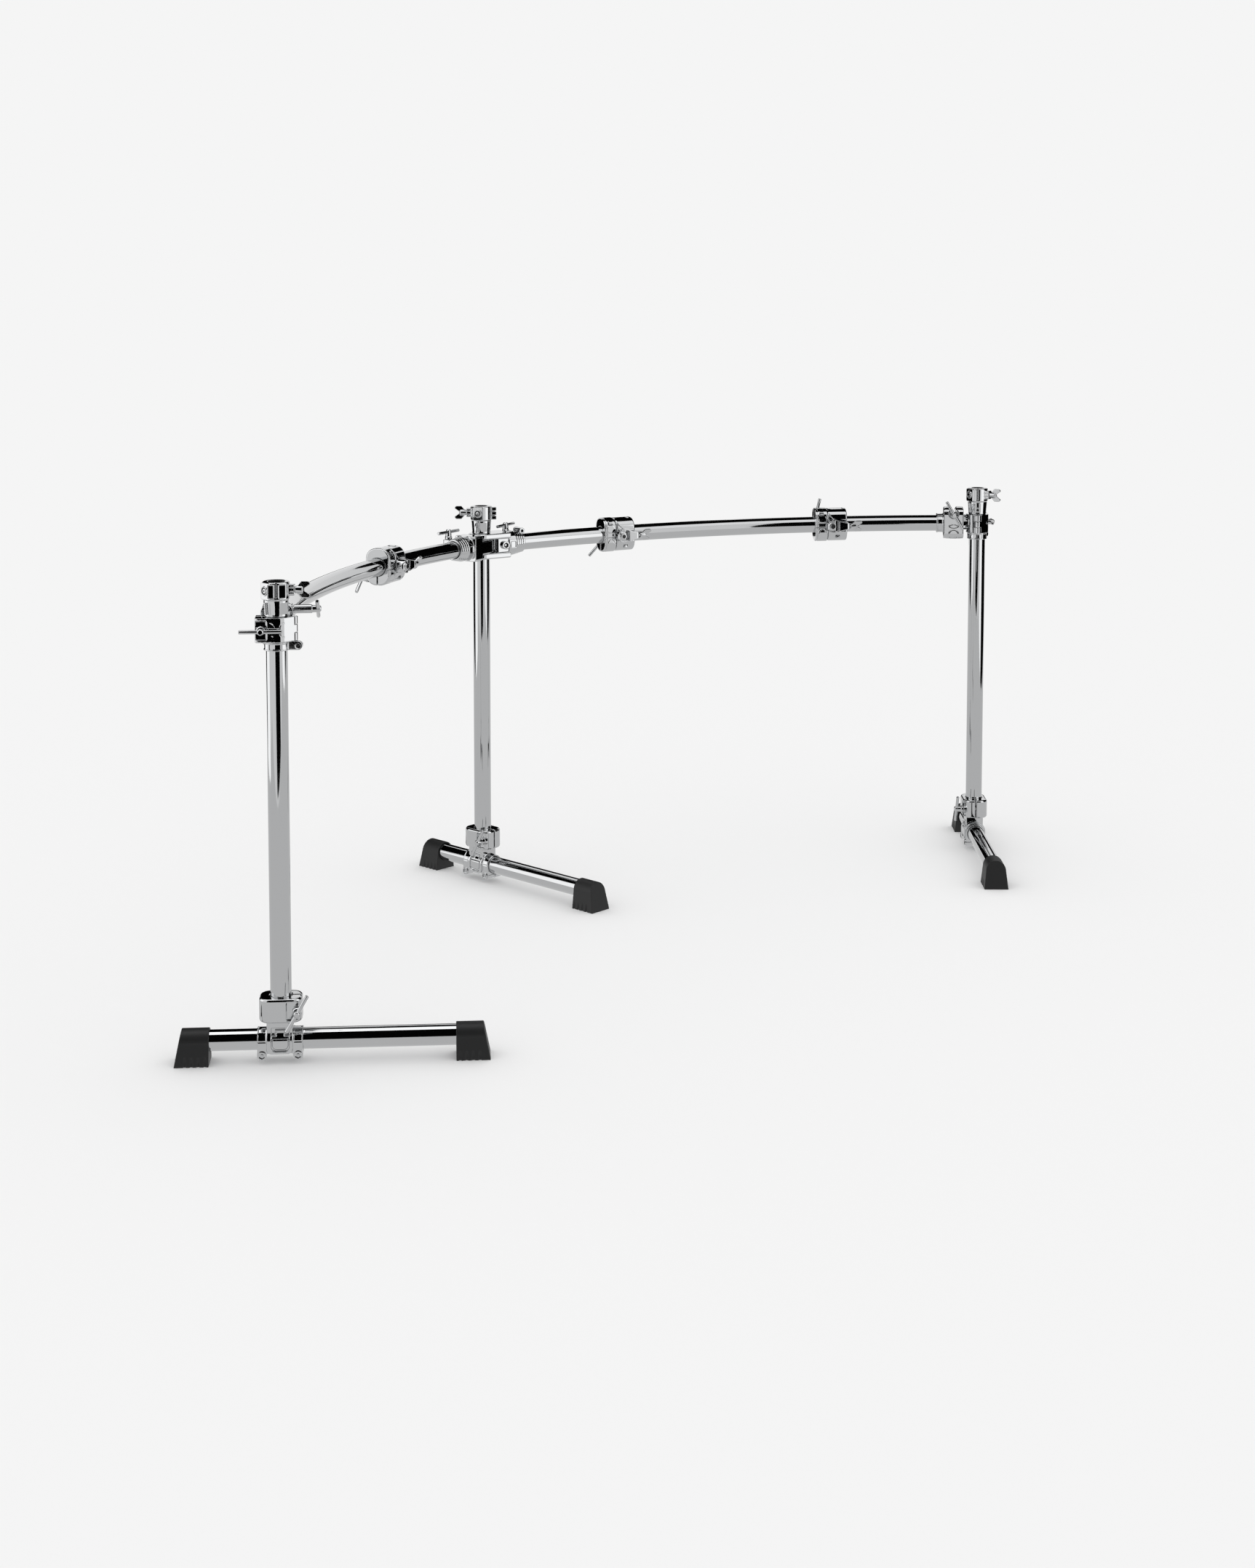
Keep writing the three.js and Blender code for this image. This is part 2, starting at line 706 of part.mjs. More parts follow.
function barJaw(frame) {
  const half = slitWidth / 2;
  const gripMiddle = gripNear + gripLength / 2;
  const hingeZ = frame.lift - hingeOffset;
  const blank = keep(
    gripBlank(frame),
    block(
      [gripNear + faceGap, frame.shift + half, hingeZ],
      [gripNear + gripLength, gripDepth, gripHeight],
    ),
  );
  const opened = cut(
    blank,
    alongX(hingeRoom(gripLength, true)).translate(gripMiddle, frame.shift, hingeZ),
  );
  const jaw = join(
    opened,
    alongX(knuckles(gripLength, true)).translate(gripMiddle, frame.shift, hingeZ),
  );
  return cut(
    jaw,
    barBore(frame, gripLength, gripLength),
    alongY(rod(keyHoleRadius, 0, gripDepth, pinSides)).translate(
      gripMiddle,
      0,
      frame.lift + gripKeyRise,
    ),
    alongX(
      rod(faceted(hingePinDiameter / 2 + slipGap, pinSides), -gripLength, gripLength, pinSides),
    ).translate(gripMiddle, frame.shift, hingeZ),
  );
}

function teeGroup(name, bar, barKeyTurn) {
  const gripMiddle = gripNear + gripLength / 2;
  const origin = bar.post.clone().setZ(bar.teeHeight);
  const frame = squareFrame(bar, bar.arcLength - gripMiddle, origin, -1, -1);
  const group = new THREE.Group();
  group.applyMatrix4(frame.matrix);
  const postKey = piece(`${name}_tee_post_key`, tKey(teeKeySeat + teeEarThickness, teePostKeyTurn));
  const barKey = piece(
    `${name}_tee_bar_key`,
    tKey(gripDepth / 2 + keyThread / 2, barKeyTurn, gripBossLength),
  );
  group.add(piece(`${name}_tee_body`, teeBody(frame)));
  group.add(piece(`${name}_tee_post_jaw`, postJaw()));
  group.add(piece(`${name}_tee_bar_jaw`, barJaw(frame)));
  group.add(aim(postKey, [-teeKeySeat, -teeKeyOffset, 0], axisX.clone().negate(), axisY));
  const barKeyPlace = [gripMiddle, frame.shift + gripDepth / 2, frame.lift + gripKeyRise];
  group.add(aim(barKey, barKeyPlace, axisY, axisX));
  return group;
}

// Memory rings

function memoryRing(boreRadius, length, earReach, sides) {
  const ring = rod(ringDiameter / 2, -length / 2, length / 2, sides);
  const ear = block(
    [tubeRadius, -ringEarThickness / 2, -length / 2],
    [earReach - length / 2, ringEarThickness / 2, length / 2],
  );
  const end = alongY(rod(length / 2, -ringEarThickness / 2, ringEarThickness / 2, pinSides));
  const blank = join(ring, ear, end.translate(earReach - length / 2, 0, 0));
  const opened = cut(
    blank,
    rod(boreRadius, -length, length, sides),
    block([0, -slitWidth / 2, -length], [ringDiameter, slitWidth / 2, length]),
  );
  const bolt = alongY(
    rod(
      boltDiameter / 2,
      -ringEarThickness / 2 - boltHeadLength,
      ringEarThickness / 2 + boltHeadLength,
      pinSides,
    ),
  );
  return join(opened, bolt.translate(earReach - length / 2, 0, 0));
}

function postRing(name, bar, heading) {
  const ring = piece(
    `${name}_memory_ring`,
    memoryRing(postBoreRadius, ringHeight, ringEarReach, tubeSides),
  );
  ring.rotation.z = THREE.MathUtils.degToRad(heading);
  ring.position.copy(bar.post);
  ring.position.z = bar.teeHeight - teeHeight / 2 - faceGap - ringHeight / 2;
  return ring;
}

function barRing(name, bar) {
  const ring = piece(name, memoryRing(barBoreRadius, barRingLength, barRingEarReach, barSides));
  const inset = gripNear + gripLength + 2 * faceGap + barRingLength / 2;
  const { place, tangent, radial } = onBar(bar, bar.arcLength - inset);
  return aim(ring, place, tangent, radial);
}

// Hub arms: X along the bar, Y outward, the origin on the post axis at the hub's centre

// The height of the key's seat, where its crossbar swings clear over the plates round the post.
function armKeySeat(frame) {
  const crossbarRise = keyHubLength - keyBarSetback - keyBarDiameter / 2;
  const plateTop = forkInnerHeight / 2 + forkPlate;
  return Math.max(frame.lift + armEarHeight / 2, plateTop + slipGap - crossbarRise);
}

function sleeve(frame, keySpot) {
  const radius = barBoreRadius + armSleeveWall;
  const keyOffset = barBoreRadius + keyHoleRadius + slitWidth;
  const near = armSleeveNear - frame.reach;
  const far = near + armSleeveLength;
  const barrel = alongX(rod(radius, near, far))
    .rotateY(-frame.pitch)
    .translate(frame.reach, frame.shift, frame.lift);
  const ears = block(
    [keySpot - armEarLength / 2, 0, -armEarHeight / 2],
    [keySpot + armEarLength / 2, keyOffset + keyHubDiameter / 2, armKeySeat(frame) - frame.lift],
  ).translate(0, frame.shift, frame.lift);
  return { blank: join(barrel, ears), keyOffset };
}

function sleeveCuts(frame, keySpot, keyOffset) {
  const length = armSleeveNear + armSleeveLength;
  return [
    barBore(frame, frame.reach - barStart + barEndGap, length),
    block([armSleeveNear, 0, -slitWidth / 2], [2 * length, gripHeight, slitWidth / 2]).translate(
      0,
      frame.shift,
      frame.lift,
    ),
    rod(keyHoleRadius, -armEarHeight, armEarHeight, pinSides).translate(
      keySpot,
      frame.shift + keyOffset,
      frame.lift,
    ),
  ];
}

// A tongue or plate round the post that runs out to the sleeve.
function armPlate(bottom, top, far) {
  const radius = forkDiameter / 2;
  return join(
    rod(radius, bottom, top),
    block([0, -radius, bottom], [far, radius, top]),
  );
}

function forkArm(frame, keySpot) {
  const inner = forkInnerHeight / 2;
  const outer = inner + forkPlate;
  const { blank, keyOffset } = sleeve(frame, keySpot);
  const far = armSleeveNear + overrun;
  const radius = forkDiameter / 2;
  const web = block([webNear + faceGap, -radius, -inner - overrun], [far, radius, inner + overrun]);
  return cut(
    join(armPlate(inner, outer, far), armPlate(-outer, -inner, far), web, blank),
    rod(postBoreRadius, -outer - overrun, outer + overrun),
    ...sleeveCuts(frame, keySpot, keyOffset),
  );
}

function tongueArm(frame, keySpot) {
  const inner = forkInnerHeight / 2 - tongueGap;
  const outer = inner + tongueGap + forkPlate;
  const { blank, keyOffset } = sleeve(frame, keySpot);
  const far = armSleeveNear + overrun;
  const radius = forkDiameter / 2;
  const head = block([webNear + faceGap, -radius, -outer], [far, radius, outer]);
  const tongue = armPlate(-inner, inner, far);
  return cut(
    join(tongue, head, blank),
    rod(postBoreRadius, -inner - overrun, inner + overrun),
    ...sleeveCuts(frame, keySpot, keyOffset),
  );
}

function armGroup(name, bar, arm, keySpot, keyTurn) {
  const middle = armSleeveNear + armSleeveLength / 2;
  const frame = squareFrame(bar, middle, bar.hub, 1, 1);
  const { keyOffset } = sleeve(frame, keySpot);
  const group = new THREE.Group();
  group.applyMatrix4(frame.matrix);
  const key = piece(`${name}_arm_key`, tKey(armKeyThread, keyTurn));
  key.position.set(keySpot, frame.shift + keyOffset, armKeySeat(frame));
  group.add(piece(`${name}_arm`, arm(frame, keySpot)), key);
  return group;
}

// Multi-clamps: X to the player's right, Y outward, the origin on the bar's axis between ring and body

function multiBody() {
  const outline = roundedOutline(multiBodyDepth, multiBodyHeight, multiCorner);
  const blank = alongX(slab(outline, faceGap / 2, multiBodyLength));
  const seat = alongY(rod(pivotDiameter / 2, -multiBodyDepth / 2 - pivotLength, 0, pinSides));
  return cut(
    join(blank, seat.translate(multiBodyLength / 2, 0, 0)),
    alongX(rod(barBoreRadius, -overrun, multiBodyLength + overrun, barSides)),
  );
}

// The key and the slit are at the ring's top, or at its bottom where the side is -1.
function multiRing(keySide) {
  const outline = roundedOutline(multiRingDepth, multiRingHeight, multiCorner);
  const blank = alongX(slab(outline, -multiRingLength, -faceGap / 2));
  const slitEnds = [0, keySide * multiRingHeight].sort((a, b) => a - b);
  return cut(
    blank,
    alongX(rod(barBoreRadius, -multiRingLength - overrun, overrun, barSides)),
    block(
      [-multiRingLength - overrun, -slitWidth / 2, slitEnds[0]],
      [0, slitWidth / 2, slitEnds[1]],
    ),
    alongY(rod(keyHoleRadius, -ringKeyThread - overrun, multiRingDepth, pinSides)).translate(
      -multiRingLength / 2,
      0,
      keySide * ringKeyHeight,
    ),
  );
}

// A rod jaw that turns on the body's pivot: the origin lies on the bar's axis, the jaw on the -Y side.
function bracket() {
  const back = -multiBodyDepth / 2 - faceGap;
  const front = back - bracketDepth;
  const blank = slab(
    roundedOutline(bracketLength, bracketDepth, bracketCorner),
    -bracketHeight / 2,
    bracketHeight / 2,
  ).translate(0, (back + front) / 2, 0);
  const head = alongY(
    rod(bracketHeadDiameter / 2, front - bracketHeadLength, front + overrun, tubeSides),
  ).translate(bracketHeadDiameter / 2 + bracketCorner / 2 - bracketLength / 2, 0, 0);
  return cut(
    join(blank, head),
    alongY(rod(faceted(pivotDiameter / 2 + slipGap, pinSides), back - pivotLength, 0, pinSides)),
    block(
      [-bracketRodShift - bracketRodWidth / 2, front - overrun - bracketHeadLength, -bracketHeight],
      [-bracketRodShift + bracketRodWidth / 2, front + bracketRodDepth, bracketHeight],
    ),
    alongX(rod(keyHoleRadius, -bracketRodShift, bracketLength, pinSides)).translate(
      0,
      front + bracketRodDepth / 2,
      0,
    ),
  );
}

function multiClamp(name, bar, spot, { keySide, keyTurn, keySlide }) {
  const { place, radial } = onBar(bar, spot);
  const group = new THREE.Group();
  const x = new THREE.Vector3().crossVectors(radial, bar.up);
  const seam = place.clone().addScaledVector(x, (multiRingLength - multiBodyLength) / 2);
  group.applyMatrix4(new THREE.Matrix4().makeBasis(x, radial, bar.up).setPosition(seam));
  const rodJaw = piece(`${name}_bracket`, bracket());
  rodJaw.position.x = multiBodyLength / 2;
  const front = -multiBodyDepth / 2 - faceGap - bracketDepth;
  const thread = bracketLength / 2 + bracketRodShift - bracketRodWidth / 2 - overrun;
  const wing = piece(`${name}_wing_bolt`, wingBolt(thread, multiWingTurn));
  const wingPlace = [(multiBodyLength + bracketLength) / 2, front + bracketRodDepth / 2, 0];
  const key = piece(
    `${name}_ring_key`,
    tKey(multiRingDepth / 2 + ringKeyThread, keyTurn, 0, keySlide),
  );
  group.add(piece(`${name}_body`, multiBody()), piece(`${name}_ring`, multiRing(keySide)), rodJaw);
  group.add(aim(wing, wingPlace, axisX, axisZ));
  const keyPlace = [-multiRingLength / 2, multiRingDepth / 2, keySide * ringKeyHeight];
  group.add(aim(key, keyPlace, axisY, axisX));
  return group;
}

// The peg lies along the bar, against the end of the clamp's body.
function peg() {
  const ball = pegDiameter / 2;
  const cap = new THREE.SphereGeometry(ball, tubeSides, domeSteps).rotateX(Math.PI / 2);
  const whole = join(rod(ball, 0, pegLength - ball), cap.translate(0, 0, pegLength - ball));
  return alongX(whole).translate(multiBodyLength + faceGap, pegOutset, pegRise);
}

// The whole rack

const bars = { left: beam(-1, leftTeeHeight), right: beam(1, rightTeeHeight) };
const rack = new THREE.Group();

const posts = [
  {
    name: "left",
    at: bars.left.post,
    base: leftBaseHeading,
    top: leftTeeHeight + teeHeight / 2,
    cupLug: leftCupLugHeading,
    cupBoss: leftCupBossHeading,
  },
  {
    name: "centre",
    at: new THREE.Vector3(),
    base: centreBaseHeading,
    top: hubHeight + forkInnerHeight / 2 + forkPlate,
    cupLug: centreCupLugHeading,
    cupBoss: centreCupBossHeading,
  },
  {
    name: "right",
    at: bars.right.post,
    base: rightBaseHeading,
    top: rightTeeHeight + teeHeight / 2,
    cupLug: rightCupLugHeading,
    cupBoss: rightCupBossHeading,
  },
];
for (const { name, at, base, top, cupLug, cupBoss } of posts) {
  const post = postGroup(name, top + faceGap, cupLug, cupBoss);
  post.position.copy(at);
  post.add(baseGroup(name, base));
  rack.add(post);
}

rack.add(piece("left_bar", bentTube(bars.left)));
rack.add(piece("right_bar", bentTube(bars.right)));
rack.add(teeGroup("left", bars.left, leftTeeBarKeyTurn));
rack.add(teeGroup("right", bars.right, rightTeeBarKeyTurn));
rack.add(postRing("left", bars.left, leftRingHeading));
rack.add(postRing("right", bars.right, rightRingHeading));
rack.add(barRing("bar_memory_ring", bars.right));
rack.add(armGroup("left", bars.left, tongueArm, leftArmKeySpot, leftArmKeyTurn));
rack.add(armGroup("right", bars.right, forkArm, rightArmKeySpot, rightArmKeyTurn));
const leftMulti = multiClamp("left_multi", bars.left, leftMultiSpot, lowRingKey);
leftMulti.add(piece("left_multi_peg", peg(), rubber()));
rack.add(leftMulti);
rack.add(multiClamp("inner_multi", bars.right, innerMultiSpot, lowRingKey));
rack.add(multiClamp("outer_multi", bars.right, outerMultiSpot, highRingKey));

const rackBox = new THREE.Box3().setFromObject(rack, true);
const rackMiddle = rackBox.getCenter(new THREE.Vector3());
rack.position.set(-rackMiddle.x, -rackMiddle.y, -rackBox.min.z);
const whole = new THREE.Group();
whole.add(rack);

export default whole;
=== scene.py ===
# A drum rack frame: chromed tube, polished zinc castings and black rubber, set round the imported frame.
import json
import math

import bmesh
import bpy
from mathutils import Matrix, Vector
from mathutils.geometry import convex_hull_2d

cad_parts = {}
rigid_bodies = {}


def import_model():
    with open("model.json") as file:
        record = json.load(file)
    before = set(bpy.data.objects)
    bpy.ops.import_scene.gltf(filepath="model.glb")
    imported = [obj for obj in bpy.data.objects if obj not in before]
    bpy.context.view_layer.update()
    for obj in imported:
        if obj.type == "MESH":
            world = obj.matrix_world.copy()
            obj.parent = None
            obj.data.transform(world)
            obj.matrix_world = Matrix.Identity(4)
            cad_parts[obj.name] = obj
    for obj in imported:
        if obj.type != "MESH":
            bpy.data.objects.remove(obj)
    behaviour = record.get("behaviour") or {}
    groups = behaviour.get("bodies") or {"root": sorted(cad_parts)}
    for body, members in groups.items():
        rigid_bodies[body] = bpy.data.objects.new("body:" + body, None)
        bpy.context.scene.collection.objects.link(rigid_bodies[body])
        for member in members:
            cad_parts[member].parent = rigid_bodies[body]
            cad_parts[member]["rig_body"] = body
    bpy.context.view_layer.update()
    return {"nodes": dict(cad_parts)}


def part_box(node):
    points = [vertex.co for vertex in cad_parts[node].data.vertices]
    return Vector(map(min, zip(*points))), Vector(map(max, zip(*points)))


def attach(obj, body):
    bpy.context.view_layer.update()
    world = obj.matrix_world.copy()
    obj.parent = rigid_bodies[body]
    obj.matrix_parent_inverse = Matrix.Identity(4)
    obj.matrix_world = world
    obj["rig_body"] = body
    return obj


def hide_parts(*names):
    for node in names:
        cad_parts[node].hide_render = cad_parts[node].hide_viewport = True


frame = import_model()
print("stage: frame loaded,", len(frame["nodes"]), "nodes")

scene = bpy.context.scene
metresPerMm = 0.001
axisX, axisY, axisZ = Vector((1, 0, 0)), Vector((0, 1, 0)), Vector((0, 0, 1))

# The rack's layout, in millimetres and degrees
layout = {
    "span": 1204,
    "chordAngle": 117.75,
    "barRadius": 1636,
    "hubHeight": 772,
    "teeHeight": {"left": 784, "right": 788},
    "baseHeading": {"left": 49.4, "centre": 2, "right": -45.4},
    "multiSpot": {"inner_multi": 349, "outer_multi": 880, "left_multi": 380},
}

# The tube and the room that pieces keep round it, in millimetres
tube = {"radius": 19.05, "wall": 2, "sides": 96, "slip": 0.4, "bend": 0.9, "face": 0.3, "slit": 3, "over": 1}
postBore = tube["radius"] + tube["slip"]
barBore = tube["radius"] + tube["bend"]


# Shapes, all in millimetres

quarter = [math.radians(a) for a in (0, 22.5, 45, 67.5, 90)]
layX = Matrix(((0, 0, 1, 0), (1, 0, 0, 0), (0, 1, 0, 0), (0, 0, 0, 1)))  # own x, y and z become Y, Z and X
layY = layX @ layX  # own x, y and z become Z, X and Y


def meshFrom(points, faces):
    mesh = bpy.data.meshes.new("shape")
    mesh.from_pydata([tuple(p) for p in points], [], faces)
    return mesh


def meshOf(shape):
    mesh = bpy.data.meshes.new("shape")
    shape.to_mesh(mesh)
    shape.free()
    return mesh


def circle(radius, sides=tube["sides"], centre=(0, 0)):
    turns = [2 * math.pi * i / sides for i in range(sides)]
    return [(centre[0] + radius * math.cos(t), centre[1] + radius * math.sin(t)) for t in turns]


def arcPoints(centre, radius, start, end, steps=12):
    angles = [math.radians(start + (end - start) * i / steps) for i in range(steps + 1)]
    return [(centre[0] + radius * math.cos(a), centre[1] + radius * math.sin(a)) for a in angles]


def rounded(width, depth, corner, steps=10):
    x, y = width / 2 - corner, depth / 2 - corner
    spots = [((x, y), 0), ((-x, y), 90), ((-x, -y), 180), ((x, -y), 270)]
    return [p for centre, start in spots for p in arcPoints(centre, corner, start, start + 90, steps)]


def oval(width, height, sides=48, centre=(0, 0)):
    return [(centre[0] + x * width / 2, centre[1] + y * height / 2) for x, y in circle(1, sides)]


def arch(radius, axisHeight, bottom, footWidth):
    legs = [(-footWidth / 2, bottom), (footWidth / 2, bottom)]
    return legs + arcPoints((0, axisHeight), radius, 0, 180, 40)


def shield(left, right, bottom, top, corner):  # round below, square above
    low = bottom + corner
    return ([(right, top), (left, top)] + arcPoints((left + corner, low), corner, 180, 270)
            + arcPoints((right - corner, low), corner, 270, 360))


def hull(*outlines):
    points = [p for outline in outlines for p in outline]
    return [points[i] for i in convex_hull_2d(points)]


def prism(outline, low, high):
    area = sum(a[0] * b[1] - b[0] * a[1] for a, b in zip(outline, outline[1:] + outline[:1]))
    ring = list(outline) if area > 0 else list(reversed(outline))
    count = len(ring)
    points = [(x, y, low) for x, y in ring] + [(x, y, high) for x, y in ring]
    sides = [(i, (i + 1) % count, count + (i + 1) % count, count + i) for i in range(count)]
    return meshFrom(points, [tuple(reversed(range(count))), tuple(range(count, 2 * count))] + sides)


def box(low, high):
    outline = [(low[0], low[1]), (high[0], low[1]), (high[0], high[1]), (low[0], high[1])]
    return prism(outline, low[2], high[2])


def softBlock(width, depth, corner, low, high, bevel):  # rounded all over, along Z
    rings = [(bevel * (1 - math.sin(a)), low + bevel * (1 - math.cos(a))) for a in quarter]
    rings += [(inset, low + high - z) for inset, z in reversed(rings)]
    outlines = [(rounded(width - 2 * inset, depth - 2 * inset, corner - inset), z) for inset, z in rings]
    count = len(outlines[0][0])
    points = [(x, y, z) for outline, z in outlines for x, y in outline]
    faces = [tuple(reversed(range(count))), tuple(range(len(points) - count, len(points)))]
    for start in range(0, len(points) - count, count):
        for i in range(count):
            j = (i + 1) % count
            faces.append((start + i, start + j, start + count + j, start + count + i))
    return meshFrom(points, faces)


def rod(radius, low, high, sides=tube["sides"]):
    return prism(circle(radius, sides), low, high)


def turned(profile, sides=tube["sides"]):
    shape = bmesh.new()
    rings = []
    for radius, height in profile:
        ring = [(0, 0)] if radius == 0 else circle(radius, sides)
        rings.append([shape.verts.new((x, y, height)) for x, y in ring])
    closed = len(rings[0]) > 1
    pairs = list(zip(rings, rings[1:])) + ([(rings[-1], rings[0])] if closed else [])
    for low, high in pairs:
        for i in range(sides):
            j = (i + 1) % sides
            corners = [low[i % len(low)], low[j % len(low)], high[j % len(high)], high[i % len(high)]]
            face = list(dict.fromkeys(corners))
            if len(face) > 2:
                shape.faces.new(face)
    bmesh.ops.recalc_face_normals(shape, faces=shape.faces)
    return meshOf(shape)


def pin(radius, low, high, edge=0.8, sides=48):  # a round bar with softened rims
    bottom = [(radius - edge + edge * math.sin(a), low + edge - edge * math.cos(a)) for a in quarter]
    top = [(radius - edge + edge * math.cos(a), high - edge + edge * math.sin(a)) for a in quarter]
    return turned([(0, low)] + bottom + top + [(0, high)], sides)


def moved(mesh, matrix):
    mesh.transform(matrix)
    if matrix.determinant() < 0:
        mesh.flip_normals()
    return mesh


def shifted(mesh, x=0.0, y=0.0, z=0.0):
    return moved(mesh, Matrix.Translation((x, y, z)))


def spun(mesh, degrees, axis="Z"):
    return moved(mesh, Matrix.Rotation(math.radians(degrees), 4, axis))


def alongX(mesh):
    return moved(mesh, layX)


def alongY(mesh):
    return moved(mesh, layY)


def facing(mesh):  # a shape drawn across X and Z: own y and z become Z and -Y
    return moved(mesh, Matrix.Rotation(math.pi / 2, 4, "X"))


def pocket(outline, face, depth):  # a cut into a face that looks to -Y
    return facing(prism(outline, -face - depth, tube["over"] - face))


def groove(path, face, width, depth=0.7):  # a line cut along a path into a face that looks to -Y
    shape = bmesh.new()
    rows = []
    near, deep = face - tube["over"], face + depth
    for i, (x, z) in enumerate(path):
        before = Vector(path[max(i - 1, 0)])
        after = Vector(path[min(i + 1, len(path) - 1)])
        side = (after - before).orthogonal().normalized() * (width / 2)
        rows.append([shape.verts.new((x + a * side.x, y, z + a * side.y))
                     for a, y in ((-1, near), (1, near), (1, deep), (-1, deep))])
    for first, second in zip(rows, rows[1:]):
        for i in range(4):
            j = (i + 1) % 4
            shape.faces.new((first[i], first[j], second[j], second[i]))
    shape.faces.new(rows[0])
    shape.faces.new(rows[-1])
    bmesh.ops.recalc_face_normals(shape, faces=shape.faces)
    return meshOf(shape)


def outlined(outline, face, width, depth=0.7):  # a groove that runs all the way round
    return groove(outline + outline[:1], face, width, depth)


def modified(mesh, settings):
    thing = bpy.data.objects.new("work", mesh)
    scene.collection.objects.link(thing)
    for kind, values in settings:
        modifier = thing.modifiers.new(kind, kind)
        for name, value in values.items():
            setattr(modifier, name, value)
    made = bpy.data.meshes.new_from_object(thing.evaluated_get(bpy.context.evaluated_depsgraph_get()))
    bpy.data.objects.remove(thing)
    return made


def combined(mesh, operation, others):
    tools = []
    for other in others:
        tool = bpy.data.objects.new("tool", other)
        scene.collection.objects.link(tool)
        tools.append(tool)
    steps = [("BOOLEAN", {"operation": operation, "object": t, "solver": "MANIFOLD"}) for t in tools]
    made = modified(mesh, steps)
    for tool in tools:
        bpy.data.objects.remove(tool)
    return made


def fused(mesh, *others):
    return combined(mesh, "UNION", others)


def carved(mesh, *tools):
    return combined(mesh, "DIFFERENCE", tools)


def kept(mesh, region):
    return combined(mesh, "INTERSECT", [region])


# How far a casting's edges soften: voxels in millimetres and rounds of smoothing
softening = {"fine": (0.6, 4), "fineRound": (0.6, 5), "plain": (0.7, 5), "plainRound": (0.7, 6),
             "broad": (0.9, 4)}
shareKept = 0.5  # of a casting's faces


def casting(mesh, grade="plain"):  # edges soften as on a polished casting
    voxel, rounds = softening[grade]
    made = modified(mesh, [
        ("REMESH", {"mode": "VOXEL", "voxel_size": voxel, "adaptivity": 0}),
        ("SMOOTH", {"factor": 0.5, "iterations": rounds}),
        ("DECIMATE", {"decimate_type": "COLLAPSE", "ratio": shareKept}),
    ])
    made.shade_smooth()
    return made


def crisp(mesh, angle=32):
    mesh.shade_smooth()
    mesh.set_sharp_from_angle(angle=math.radians(angle))
    return mesh


def placed(parts, x=0.0, y=0.0, z=0.0):
    return [(shifted(mesh, x, y, z), finish) for mesh, finish in parts]


def assembled(parts):  # one mesh from pairs of a mesh and the name of its finish
    shape = bmesh.new()
    names = list(dict.fromkeys(finish for mesh, finish in parts))
    for mesh, finish in parts:
        done = len(shape.faces)
        shape.from_mesh(mesh)
        shape.faces.ensure_lookup_table()
        for face in shape.faces[done:]:
            face.material_index = names.index(finish)
    made = meshOf(shape)
    for name in names:
        made.materials.append(finishes[name])
    return made


def pipe(low, high):  # the tube itself, upright
    inner = tube["radius"] - tube["wall"]
    return crisp(turned([(inner, low), (tube["radius"], low), (tube["radius"], high), (inner, high)]))


def basis(x, y, z, origin):
    matrix = Matrix((x, y, z)).transposed().to_4x4()
    matrix.translation = origin
    return matrix


def aimed(place, direction, sideways):  # own Z along a direction, own X as near as can be to another
    z = direction.normalized()
    y = z.cross(sideways).normalized()
    return basis(y.cross(z), y, z, Vector(place))


def deliver(node, parts, place):
    mesh = assembled(parts)
    moved(mesh, Matrix.Scale(metresPerMm, 4) @ place)
    piece = bpy.data.objects.new(f"{node}_look", mesh)
    scene.collection.objects.link(piece)
    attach(piece, frame["nodes"][node]["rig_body"])
    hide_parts(node)
    return piece


# Finishes

def linear(code):
    values = [int(code[i:i + 2], 16) / 255 for i in (1, 3, 5)]
    return [v / 12.92 if v <= 0.04045 else ((v + 0.055) / 1.055) ** 2.4 for v in values] + [1]


def addNode(tree, kind, settings=None, links=None):
    node = tree.nodes.new(kind)
    for name, value in (settings or {}).items():
        if hasattr(node, name):
            setattr(node, name, value)
        else:
            node.inputs[name].default_value = value
    for name, source in (links or {}).items():
        tree.links.new(source, node.inputs[name])
    return node


def newFinish(name, colour, metallic, roughness, grain):
    finish = bpy.data.materials.new(name)
    finish.use_nodes = True
    tree = finish.node_tree
    tree.nodes.clear()
    place = addNode(tree, "ShaderNodeTexCoord")
    noise = addNode(tree, "ShaderNodeTexNoise", {
        "Scale": 1 / (grain["size"] * metresPerMm), "Detail": grain["detail"]},
        {"Vector": place.outputs["Object"]})
    spread = addNode(tree, "ShaderNodeMapRange", {"To Min": roughness[0], "To Max": roughness[1]},
                     {"Value": noise.outputs["Fac"]})
    bump = addNode(tree, "ShaderNodeBump", {
        "Strength": grain["strength"], "Distance": grain["height"] * metresPerMm},
        {"Height": noise.outputs["Fac"]})
    shader = addNode(tree, "ShaderNodeBsdfPrincipled", {"Base Color": linear(colour), "Metallic": metallic},
                     {"Roughness": spread.outputs["Result"], "Normal": bump.outputs["Normal"]})
    addNode(tree, "ShaderNodeOutputMaterial", {}, {"Surface": shader.outputs["BSDF"]})
    return finish


